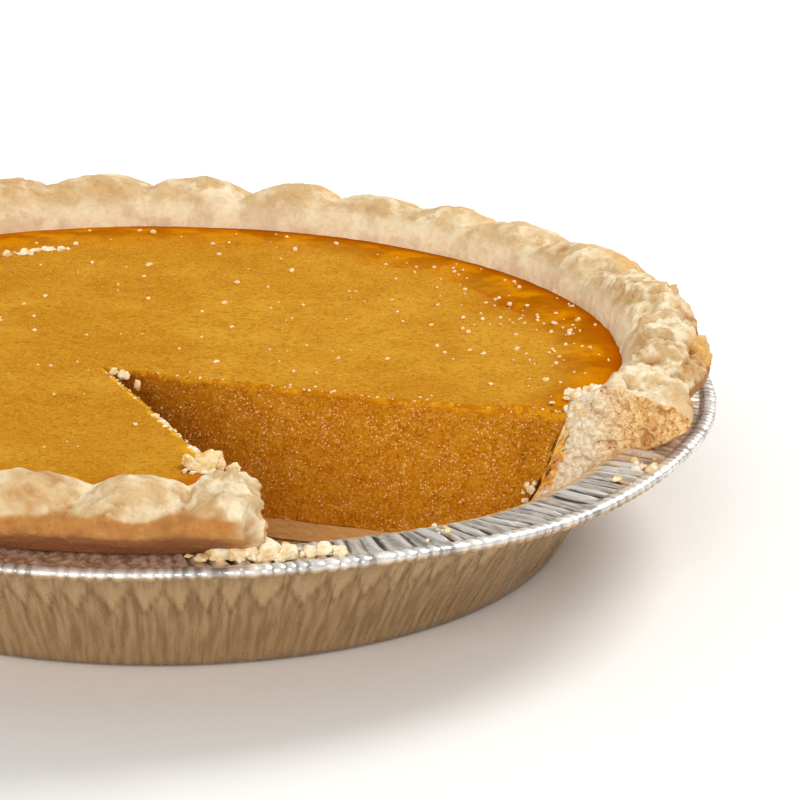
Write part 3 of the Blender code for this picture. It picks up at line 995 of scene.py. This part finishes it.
def beside_cut(heading, into_gap, reach, steps):
    """A place at this reach from the tip along a cut, moved by two steps into the gap."""
    return (TIP[0] + reach * math.cos(heading) + into_gap[0] * steps[0],
            TIP[1] + reach * math.sin(heading) + into_gap[1] * steps[1])


def placed(rows, level):
    """Lumps from rows of a place and a size, with the places' heights above a level."""
    return [((x, y, level + z), np.array(size)) for x, y, z, *size in rows]


def scattered(rng, bearing, radius, spread_along, spread_out, height, count, size):
    """Lumps scattered about a place on the pie."""
    lumps = []
    for _ in range(count):
        x, y = polar(bearing + rng.normal(0, spread_along), radius + rng.normal(0, spread_out))
        each = size * rng.uniform(0.35, 1.0)
        lumps.append(((x, y, height + each * 0.3), each * rng.uniform((0.7, 0.7, 0.45), (1.1, 1.1, 0.8))))
    return lumps


def on_filling(rng, bearing, radius, spread_along, spread_out, count, size):
    lumps = []
    for place, each in scattered(rng, bearing, radius, spread_along, spread_out, 0.0, count, size):
        lumps.append(((*place[:2], level_at(*place[:2]) + place[2]), each))
    return lumps


def along_cut(rng, heading, into_gap, start, stop, count, size):
    """Crumbs caught along the top edge of a cut."""
    lumps = []
    for _ in range(count):
        x, y = beside_cut(heading, into_gap, rng.uniform(start, stop), rng.uniform(-0.6, 0.5, 2))
        each = size * rng.uniform(0.3, 1.0)
        lumps.append(((x, y, level_at(x, y) - 0.1), each * rng.uniform((0.8, 0.8, 0.5), (1.2, 1.2, 0.9))))
    return lumps


def build_crumbs():
    """Pastry crumbs: on the flange and the filling, along the cuts and at the slice's tip."""
    rng = np.random.default_rng(11)
    flange = FLANGE_HEIGHT + 0.7
    crumbs = placed(((10.5, -113.2, 1.0, 3.6, 2.6, 2.2), (14.6, -113.8, 1.2, 3.4, 2.4, 2.6),
                     (19.0, -113.2, 1.3, 3.2, 2.6, 2.6), (22.8, -113.4, 0.9, 2.8, 2.2, 2.0),
                     (27.8, -112.3, 0.6, 1.9, 1.5, 1.3), (30.4, -111.8, 0.8, 2.2, 1.9, 1.6),
                     (33.0, -111.3, 0.5, 1.8, 1.4, 1.1)), flange)
    for bearing, radius, along, out, count, size in (
            (-83.0, 114.5, 2.4, 1.3, 26, 1.7), (-79.0, 115.0, 1.0, 1.2, 12, 1.4),
            (-74.0, 115.8, 0.9, 0.8, 7, 1.2), (-62.0, 113.5, 1.6, 2.5, 7, 0.9),
            (-32.5, 117.0, 2.2, 1.6, 16, 1.3)):
        crumbs += scattered(rng, bearing, radius, along, out, flange, count, size)
    for heap in ((112.0, 84.0, 3.2, 1.0, 40, 1.1), (-24.5, 97.0, 1.5, 1.8, 34, 1.7),
                 (-84.0, 85.0, 1.5, 1.5, 14, 1.3)):
        crumbs += on_filling(rng, *heap)
    for stretch in ((4.0, 72.0, 110, 0.42), (34.0, 46.0, 26, 0.75), (57.0, 66.0, 16, 0.8)):
        crumbs += along_cut(rng, NEAR_CUT, NEAR_INTO_GAP, *stretch)
    crumbs += along_cut(rng, FAR_CUT, FAR_INTO_GAP, 6.0, 104.0, 60, 0.35)
    for _ in range(34):
        x, y = polar(-27.2 + rng.normal(0, 0.9), 99.8 + rng.normal(0, 1.5))
        crumbs.append(((x, y, FILLING_TOP + rng.uniform(0.2, 4.6)), rng.uniform(0.5, 1.4, 3)))
    for place in ((76.2, -46.9, 20.6), (76.9, -47.1, 22.4), (77.8, -47.4, 21.4), (76.6, -47.0, 18.8),
                  (78.4, -47.6, 23.0)):
        crumbs.append((place, rng.uniform(0.5, 1.1, 3)))
    crumbs += placed(((-10.9, -19.4, -0.5, 1.5, 1.0, 1.1), (-9.2, -20.6, -0.7, 1.2, 1.0, 1.2),
                      (-8.0, -21.6, -0.6, 0.9, 0.8, 0.9), (-5.7, -24.4, -1.9, 1.0, 0.8, 1.3)), FILLING_TOP)
    return joined_lumps("crumbs", crumbs, 3, 0.3, rng)


def build_chunk():
    """The piece of crust that broke off and stands on the filling beside the near cut."""
    lumps = placed(((8.8, -81.6, 0.7, 3.4, 2.2, 2.4), (5.2, -81.2, 0.3, 2.9, 1.7, 1.4),
                    (10.8, -81.2, 0.6, 1.9, 1.8, 2.0), (7.2, -82.4, 0.2, 2.9, 1.9, 1.4),
                    (13.6, -84.4, 0.2, 1.9, 1.4, 1.5)), FILLING_TOP)
    return joined_lumps("crust_chunk", lumps, 5, 0.34, np.random.default_rng(5), 12)


SPECK_COUNT = 270


def build_specks():
    """Fine pale specks of fat and flour baked onto the filling, thickest towards the right."""
    rng = np.random.default_rng(23)
    specks = []
    while len(specks) < SPECK_COUNT:
        x, y = rng.uniform(-100, 100, 2)
        radius = math.hypot(x, y)
        bearing = math.atan2(y, x)
        in_slice = FAR_CUT > math.atan2(y - TIP[1], x - TIP[0]) > NEAR_CUT
        if radius > 100.5 or in_slice:
            continue
        crowd = bell(angle_between(bearing, math.radians(4)), 0.0, 0.36) * bell(radius, 90.0, 13.0)
        crowd += 0.4 * bell(angle_between(bearing, math.radians(38)), 0.0, 0.28) * bell(radius, 84.0, 15.0)
        if rng.uniform() > 0.10 + 0.9 * crowd:
            continue
        each = rng.choice((0.26, 0.40, 0.56, 0.82), p=(0.36, 0.34, 0.22, 0.08))
        size = each * rng.uniform((0.8, 0.8, 0.6), (1.3, 1.3, 1.0))
        specks.append(((x, y, level_at(x, y) + 0.2 * each), size))
    return joined_lumps("specks", specks, 2, 0.25, rng, 6)


def build_glint_flakes():
    """Tiny pale bits in the two cut faces, in loose clusters, that stand as painted glints."""
    rng = np.random.default_rng(31)
    flakes = []
    for heading, into_gap in ((FAR_CUT, FAR_INTO_GAP), (NEAR_CUT, NEAR_INTO_GAP)):
        for _ in range(190):
            middle_reach, middle_height = rng.uniform(12, 104), rng.uniform(9, FILLING_TOP - 1)
            for _ in range(rng.integers(1, 8)):
                reach = middle_reach + rng.normal(0, 1.6)
                height = np.clip(middle_height + rng.normal(0, 1.3), 8.5, FILLING_TOP - 1.0)
                each = rng.choice((0.12, 0.17, 0.24, 0.5), p=(0.42, 0.38, 0.19, 0.01))
                size = each * rng.uniform((0.6, 0.6, 0.6), (1.6, 1.6, 1.6))
                x, y = beside_cut(heading, into_gap, reach, (0.25, 0.25))
                if math.hypot(x, y) < inner_crust(height) - 5.0:
                    flakes.append(((x, y, height), size))
    return joined_lumps("flakes", flakes, 2, 0.3, rng, 5)


# ---------------------------------------------------------------- materials

class Nodes:
    """A short hand for a Principled material's node tree."""

    def __init__(self, name):
        self.material = bpy.data.materials.new(name)
        self.material.use_nodes = True
        self.tree = self.material.node_tree
        self.shader = self.tree.nodes["Principled BSDF"]
        self.place = self.make("ShaderNodeTexCoord").outputs["Object"]

    def make(self, kind, **settings):
        node = self.tree.nodes.new(kind)
        for key, value in settings.items():
            setattr(node, key, value)
        return node

    def link(self, source, target):
        self.tree.links.new(source, target)

    def set(self, socket, value):
        if isinstance(value, (int, float)):
            socket.default_value = value
        elif isinstance(value, tuple):
            socket.default_value = (*value, 1.0)
        else:
            self.link(value, socket)

    def attribute(self, name):
        return self.make("ShaderNodeAttribute", attribute_name=name).outputs["Fac"]

    def math(self, operation, first, second=0.0, clamp=False):
        node = self.make("ShaderNodeMath", operation=operation, use_clamp=clamp)
        self.set(node.inputs[0], first)
        self.set(node.inputs[1], second)
        return node.outputs[0]

    def times(self, first, second, clamp=False):
        return self.math("MULTIPLY", first, second, clamp)

    def part(self, name, strength):
        """A painted number times a strength."""
        return self.times(self.attribute(name), strength)

    def noise(self, size_mm, detail=4.0, rough=0.55, offset=0.0):
        """Noise from 0 to 1 with lumps of this size."""
        mapping = self.make("ShaderNodeMapping")
        self.link(self.place, mapping.inputs["Vector"])
        mapping.inputs["Location"].default_value = (offset, offset, offset)
        node = self.make("ShaderNodeTexNoise")
        self.link(mapping.outputs["Vector"], node.inputs["Vector"])
        node.inputs["Scale"].default_value = 1 / (size_mm * MM)
        node.inputs["Detail"].default_value = detail
        node.inputs["Roughness"].default_value = rough
        return node.outputs["Fac"]

    def round_noise(self, across_mm, along_mm, detail=3.0, offset=0.0):
        """Noise in streaks that run up the wall and out over the flange."""
        apart = self.make("ShaderNodeSeparateXYZ")
        self.link(self.place, apart.inputs[0])
        x, y, z = apart.outputs
        bearing = self.math("ARCTAN2", y, x)
        radius = self.math("SQRT", self.math("ADD", self.times(x, x), self.times(y, y)))
        joined = self.make("ShaderNodeCombineXYZ")
        self.link(self.times(bearing, RIM_RADIUS / across_mm), joined.inputs[0])
        self.link(self.times(self.math("ADD", radius, z), 1 / (along_mm * MM)), joined.inputs[1])
        joined.inputs[2].default_value = offset
        node = self.make("ShaderNodeTexNoise")
        self.link(joined.outputs[0], node.inputs["Vector"])
        node.inputs["Scale"].default_value = 1.0
        node.inputs["Detail"].default_value = detail
        return node.outputs["Fac"]

    def voronoi(self, size_mm):
        node = self.make("ShaderNodeTexVoronoi")
        self.link(self.place, node.inputs["Vector"])
        node.inputs["Scale"].default_value = 1 / (size_mm * MM)
        return node.outputs["Distance"]

    def spread(self, value, low, high, to_low=0.0, to_high=1.0):
        """Maps low..high to to_low..to_high with soft ends."""
        node = self.make("ShaderNodeMapRange", interpolation_type="SMOOTHSTEP")
        self.set(node.inputs["Value"], value)
        for socket, number in zip(("From Min", "From Max", "To Min", "To Max"), (low, high, to_low, to_high)):
            node.inputs[socket].default_value = number
        return node.outputs["Result"]

    def spots(self, size_mm, detail, rough, offset, *limits):
        """Noise with its contrast raised between limits."""
        return self.spread(self.noise(size_mm, detail, rough, offset), *limits)

    def mix(self, share, first, second, blend="MIX"):
        node = self.make("ShaderNodeMix", data_type="RGBA", blend_type=blend)
        self.set(node.inputs[0], share)
        self.set(node.inputs[6], first)
        self.set(node.inputs[7], second)
        return node.outputs[2]

    def layers(self, colour, *layers):
        """Lays colours over a first one, in order. Each layer is how much it covers and its colour."""
        for share, over in layers:
            colour = self.mix(share, colour, over)
        return colour

    def bump(self, height, depth_mm, strength=1.0, under=None):
        node = self.make("ShaderNodeBump")
        self.set(node.inputs["Height"], height)
        node.inputs["Distance"].default_value = depth_mm * MM
        node.inputs["Strength"].default_value = strength
        if under is not None:
            self.link(under, node.inputs["Normal"])
        return node.outputs["Normal"]

    def finish(self, colour, roughness, normal=None, specular=None):
        """Joins the colour, roughness, relief and gloss to the shader, and gives the material."""
        self.set(self.shader.inputs["Base Color"], colour)
        self.set(self.shader.inputs["Roughness"], roughness)
        if normal is not None:
            self.link(normal, self.shader.inputs["Normal"])
        if specular is not None:
            self.shader.inputs["Specular IOR Level"].default_value = specular
        return self.material


def rgb(red, green, blue):
    """Linear colour from the 0 to 255 values of a screen."""
    shares = (red / 255, green / 255, blue / 255)
    return tuple(((share + 0.055) / 1.055) ** 2.4 if share > 0.04 else share / 12.92 for share in shares)


def crust_material():
    n = Nodes("baked_pastry")
    toast = n.attribute("toast")
    slope = n.attribute("slope")
    fine = n.noise(1.3, 5.0, 0.65)
    mid = n.noise(4.5, 4.0, 0.6, 3.0)
    panels = n.spots(8.0, 2.0, 0.5, 61.0, 0.46, 0.56)
    floury = n.spots(5.0, 3.0, 0.5, 17.0, 0.42, 0.58, 0.1, 1.0)
    # The toast paint is browning together with painted shade in hollows and under the lip; where it is
    # strongest the brown is darkest.
    share = n.times(toast, n.spots(2.6, 5.0, 0.65, 13.0, 0.25, 0.6, 0.75, 1.12), clamp=True)
    brown_and_shade = n.mix(n.spread(share, 0.58, 1.0), rgb(184, 127, 64), rgb(148, 94, 57))
    base = n.layers(
        n.mix(n.spots(13.0, 3.0, 0.5, 7.0, 0.35, 0.65), rgb(205, 171, 120), rgb(220, 190, 142)),
        (n.spread(mid, 0.48, 0.70, 0.0, 0.65), rgb(200, 158, 100)),
        (n.times(slope, 0.6), rgb(228, 214, 184)),
        (n.times(n.times(panels, slope), 0.6), rgb(244, 230, 196)),
        # The flour paint is flour together with a painted highlight on raised lumps.
        (n.times(n.attribute("flour"), floury), rgb(247, 234, 203)),
        (n.attribute("golden"), rgb(234, 182, 96)),
        (n.spread(share, 0.10, 0.6), brown_and_shade))
    darker = n.mix(1.0, base, rgb(226, 196, 150), "MULTIPLY")
    grit = n.spots(1.0, 5.0, 0.75, 29.0, 0.42, 0.58)
    pale = n.mix(grit, rgb(240, 234, 214), rgb(216, 193, 158))
    specks = n.times(n.spots(1.0, 4.0, 0.65, 23.0, 0.55, 0.61), n.spread(toast, 0.02, 0.25))
    crumb = n.layers(
        n.mix(n.attribute("outer"), pale, n.mix(grit, rgb(244, 214, 156), rgb(218, 164, 94))),
        (n.spread(toast, 0.2, 0.9, 0.0, 0.6), rgb(196, 136, 70)),
        (n.times(specks, 0.8), rgb(170, 96, 40)))
    custard = n.mix(n.spots(1.8, 4.0, 0.65, 51.0, 0.42, 0.58), rgb(244, 190, 60), rgb(208, 132, 22))
    base = n.layers(
        base,
        (n.spread(fine, 0.40, 0.75, 0.0, 0.35), darker),
        (n.attribute("cut"), crumb),
        (n.part("soggy", 0.95), rgb(222, 178, 114)),
        (n.part("stain", 0.9), custard))
    grain = n.math("ADD", n.times(fine, 0.6), n.times(n.noise(0.45, 3.0, 0.6, 5.0), 0.4))
    grain = n.times(grain, n.spread(slope, 0.0, 1.0, 1.0, 0.35))
    normal = n.bump(grain, 0.5, 0.9, under=n.bump(mid, 0.8, 0.8))
    return n.finish(base, n.spread(fine, 0.3, 0.7, 0.62, 0.85), normal, 0.25)


def filling_top(n, fine, mottle):
    """The filling's baked top: blotches, a browner ring with painted shade in its crease, and a bright torn
    edge.
    """
    grainy = n.noise(1.3, 4.0, 0.6, 14.0)
    rim = n.layers(
        n.mix(n.spots(9.0, 2.0, 0.5, 66.0, 0.40, 0.60), rgb(168, 94, 0), rgb(204, 126, 0)),
        (n.spread(mottle, 0.50, 0.66, 0.0, 0.4), rgb(150, 78, 0)))
    return n.layers(
        n.mix(n.attribute("blotch"), rgb(192, 131, 34), rgb(206, 149, 48)),
        (n.spots(17.0, 4.0, 0.6, 8.0, 0.40, 0.65, 0.0, 0.4), rgb(182, 117, 26)),
        (n.spread(mottle, 0.50, 0.66, 0.0, 0.4), rgb(174, 108, 20)),
        (n.spread(mottle, 0.34, 0.47, 0.35, 0.0), rgb(210, 153, 52)),
        (n.spread(grainy, 0.50, 0.62, 0.0, 0.6), rgb(170, 108, 26)),
        (n.spread(fine, 0.50, 0.66, 0.0, 0.7), rgb(220, 168, 52)),
        (n.spots(0.9, 3.0, 0.6, 27.0, 0.58, 0.70, 0.0, 0.5), rgb(163, 97, 4)),
        (n.part("ring", 0.95), rim),
        # edge: the browned rim and a darker spot, with painted shade in the ring's crease.
        (n.part("edge", 0.6), rgb(186, 88, 2)),
        (n.part("bright", 0.9), rgb(244, 184, 22)))


def filling_face(n, fine):
    """The filling's cut faces: grains, painted glints, painted shade towards the tip and a painted highlight
    along the upper edge.
    """
    crowded = n.spots(6.0, 4.0, 0.7, 37.0, 0.44, 0.56)
    # Painted glints: small bright dots in clusters that stand for tiny highlights.
    glints = n.times(n.spread(n.voronoi(0.8), 0.20, 0.28, 1.0, 0.0), crowded)
    # The painted highlight along the top edge, where light shines through the custard.
    lip = n.mix(n.spots(2.4, 3.0, 0.6, 33.0, 0.42, 0.58), rgb(238, 172, 20), rgb(204, 122, 6))
    return n.layers(
        n.mix(n.spots(3.2, 5.0, 0.65, 9.0, 0.35, 0.7), rgb(206, 138, 26), rgb(188, 113, 6)),
        (n.spread(fine, 0.48, 0.64, 0.0, 0.7), rgb(232, 172, 70)),
        (n.spots(0.9, 4.0, 0.7, 19.0, 0.53, 0.64, 0.0, 0.6), rgb(146, 76, 2)),
        (n.times(glints, 0.9), rgb(255, 214, 156)),
        # Painted shade towards the tip.
        (n.part("deep", 0.55), rgb(128, 64, 2)),
        (n.part("lip", 0.7), lip))


def filling_material():
    n = Nodes("pumpkin_custard")
    cut = n.attribute("cut")
    fine = n.noise(0.6, 4.0, 0.65)
    mottle = n.noise(4.2, 5.0, 0.65, 4.0)
    spice = n.spread(n.voronoi(2.6), 0.05, 0.10, 1.0, 0.0)
    base = n.layers(
        filling_top(n, fine, mottle),
        (cut, filling_face(n, fine)),
        (n.times(spice, 0.6), rgb(120, 60, 6)))
    rough_face = n.times(n.noise(0.8, 4.0, 0.7, 6.0), n.spread(cut, 0.0, 1.0, 0.4, 1.0))
    normal = n.bump(rough_face, 0.55, 0.9, under=n.bump(mottle, 0.6, 0.4))
    return n.finish(base, n.spots(1.6, 3.0, 0.6, 2.0, 0.3, 0.7, 0.42, 0.62), normal, 0.0)


def foil_material():
    n = Nodes("pressed_foil")
    wall = n.attribute("wall")
    fold_light_and_shade = n.attribute("fold")
    floor = n.attribute("floor")
    baked = n.attribute("baked")
    roll = n.attribute("roll")
    streaks = n.round_noise(1.6, 16.0)
    hairs = n.round_noise(0.6, 9.0, offset=5.0)
    creases = n.noise(4.0, 5.0, 0.7, 6.0)
    creased = n.spread(creases, 0.35, 0.65)
    brown_mottle = n.spots(1.8, 5.0, 0.7, 41.0, 0.38, 0.62)
    # The flange and rim: painted highlights on the fold ridges and rim dots, painted shade in the fold
    # valleys and notches; the rim painted paler.
    bright = n.layers(
        n.mix(creased, (0.92, 0.83, 0.715), (0.60, 0.54, 0.46)),
        (n.spread(streaks, 0.42, 0.70, 0.0, 0.7), (0.17, 0.155, 0.14)),
        (roll, (0.76, 0.74, 0.71)),
        (n.spread(fold_light_and_shade, 0.10, 0.46, 1.0, 0.0), (0.98, 0.94, 0.88)),
        (n.spread(fold_light_and_shade, 0.56, 0.90, 0.0, 0.97), (0.06, 0.055, 0.05)))
    # The outer wall: a painted reflection of a brown table-top, darker towards the bottom, with its folds'
    # painted light and shade and the darts painted lighter.
    tan_reflection = n.layers(
        n.mix(n.spread(streaks, 0.35, 0.65), rgb(200, 168, 124), rgb(160, 128, 88)),
        (n.part("low", 0.4), rgb(148, 116, 78)),
        (n.spread(fold_light_and_shade, 0.1, 0.5, 0.35, 0.0), rgb(206, 176, 132)),
        (n.spread(fold_light_and_shade, 0.5, 0.9, 0.0, 0.6), rgb(128, 98, 62)),
        (n.part("dart", 0.75), rgb(212, 182, 138)))
    base = n.layers(
        bright,
        (wall, tan_reflection),
        # Brown painted on the flange below the crust.
        (baked, n.mix(brown_mottle, rgb(186, 136, 100), rgb(240, 214, 188))),
        (floor, n.mix(creased, rgb(240, 208, 154), rgb(222, 186, 130))))
    # The wall and rim are less metallic, so that their painted reflection and painted highlight show.
    metal = n.layers(
        n.mix(wall, (0.9, 0.9, 0.9), (0.55, 0.55, 0.55)),
        (roll, n.mix(wall, (0.6, 0.6, 0.6), (0.55, 0.55, 0.55))),
        (baked, (0.2, 0.2, 0.2)),
        (floor, (0.15, 0.15, 0.15)))
    n.link(metal, n.shader.inputs["Metallic"])
    normal = n.bump(hairs, 0.15, 0.35, under=n.bump(streaks, 0.5, 0.6))
    return n.finish(base, n.spread(creases, 0.3, 0.7, 0.24, 0.38), normal)


def crumb_material(name, light, dark):
    n = Nodes(name)
    fine = n.noise(0.8, 4.0, 0.65, 3.0)
    base = n.layers(
        n.mix(n.spots(3.0, 3.0, 0.6, 0.0, 0.42, 0.62), light, dark),
        (n.spread(fine, 0.52, 0.68, 0.0, 0.6), rgb(218, 168, 98)))
    return n.finish(base, n.spread(fine, 0.3, 0.7, 0.6, 0.85), n.bump(fine, 0.4, 0.9), 0.25)


def speck_material(name, light, dark):
    n = Nodes(name)
    tone = n.noise(1.0, 3.0, 0.6)
    base = n.mix(n.spread(tone, 0.35, 0.65), light, dark)
    return n.finish(base, n.spread(tone, 0.3, 0.7, 0.3, 0.5), n.bump(tone, 0.1, 0.5), 0.2)


# ---------------------------------------------------------------- scene

def dress(obj, material, node=None):
    obj.data.materials.append(material)
    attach(obj, "root")
    if node:
        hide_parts(node)


def add_floor():
    """A pale floor just under the tin."""
    builder = bmesh.new()
    bmesh.ops.create_grid(builder, x_segments=1, y_segments=1, size=4.0)
    mesh = bpy.data.meshes.new("floor")
    builder.to_mesh(mesh)
    builder.free()
    floor = bpy.data.objects.new("floor", mesh)
    floor.location.z = CAD_BOX[0][2] - FLOOR_GAP
    bpy.context.scene.collection.objects.link(floor)
    n = Nodes("pale_floor")
    pale = n.mix(n.noise(60.0, 3.0, 0.5), (0.90, 0.90, 0.90), (0.93, 0.93, 0.93))
    mesh.materials.append(n.finish(pale, 0.9))


def add_light(name, place, size, power, colour, aim=(0, 0, 0.03)):
    data = bpy.data.lights.new(name, "AREA")
    data.shape = "DISK"
    data.size = size
    data.energy = power
    data.color = colour
    light = bpy.data.objects.new(name, data)
    light.location = place
    light.rotation_euler = (Vector(place) - Vector(aim)).to_track_quat("Z", "Y").to_euler()
    bpy.context.scene.collection.objects.link(light)


def add_camera():
    """A long lens, a little above the pie, turned slightly to the right of its middle."""
    yaw, pitch, roll = 0.0856, 0.3176, 0.0271
    forward = Vector((math.sin(yaw) * math.cos(pitch), math.cos(yaw) * math.cos(pitch), -math.sin(pitch)))
    level = Vector((math.cos(yaw), -math.sin(yaw), 0.0))
    up = level.cross(forward)
    right = level * math.cos(roll) + up * math.sin(roll)
    top = up * math.cos(roll) - level * math.sin(roll)
    data = bpy.data.cameras.new("camera")
    data.sensor_width = 36.0
    data.lens = 130.54
    data.clip_end = 20.0
    camera = bpy.data.objects.new("camera", data)
    turn = Matrix((right, top, -forward)).transposed()
    camera.matrix_world = Matrix.Translation((0.0, -0.6222, 0.2311)) @ turn.to_4x4()
    bpy.context.scene.collection.objects.link(camera)
    bpy.context.scene.camera = camera


def add_world():
    world = bpy.data.worlds.new("studio")
    world.use_nodes = True
    background = world.node_tree.nodes["Background"]
    background.inputs["Color"].default_value = (1.0, 0.99, 0.97, 1.0)
    background.inputs["Strength"].default_value = 0.55
    bpy.context.scene.world = world
    bpy.context.scene.view_settings.view_transform = "Standard"


dress(build_tin(), foil_material(), "foil_tin")
dress(build_crust(), crust_material(), "pastry_crust")
dress(build_filling(), filling_material(), "pumpkin_filling")
dress(build_crumbs(), crumb_material("pastry_crumb", rgb(252, 240, 210), rgb(238, 204, 144)))
dress(build_chunk(), crumb_material("pastry_chunk", rgb(247, 226, 176), rgb(230, 180, 102)))
dress(build_specks(), speck_material("pale_specks", rgb(246, 228, 188), rgb(232, 190, 118)))
# Pale bits in the cut faces that stand as painted glints.
dress(build_glint_flakes(), speck_material("cut_face_glints", rgb(244, 200, 138), rgb(224, 152, 80)))
add_floor()
add_light("key", (0.9, 0.7, 1.2), 0.8, 17.0, (1.0, 0.97, 0.92))
add_light("fill", (-0.8, -2.4, 1.1), 1.8, 44.0, (1.0, 0.98, 0.95))
add_camera()
add_world()
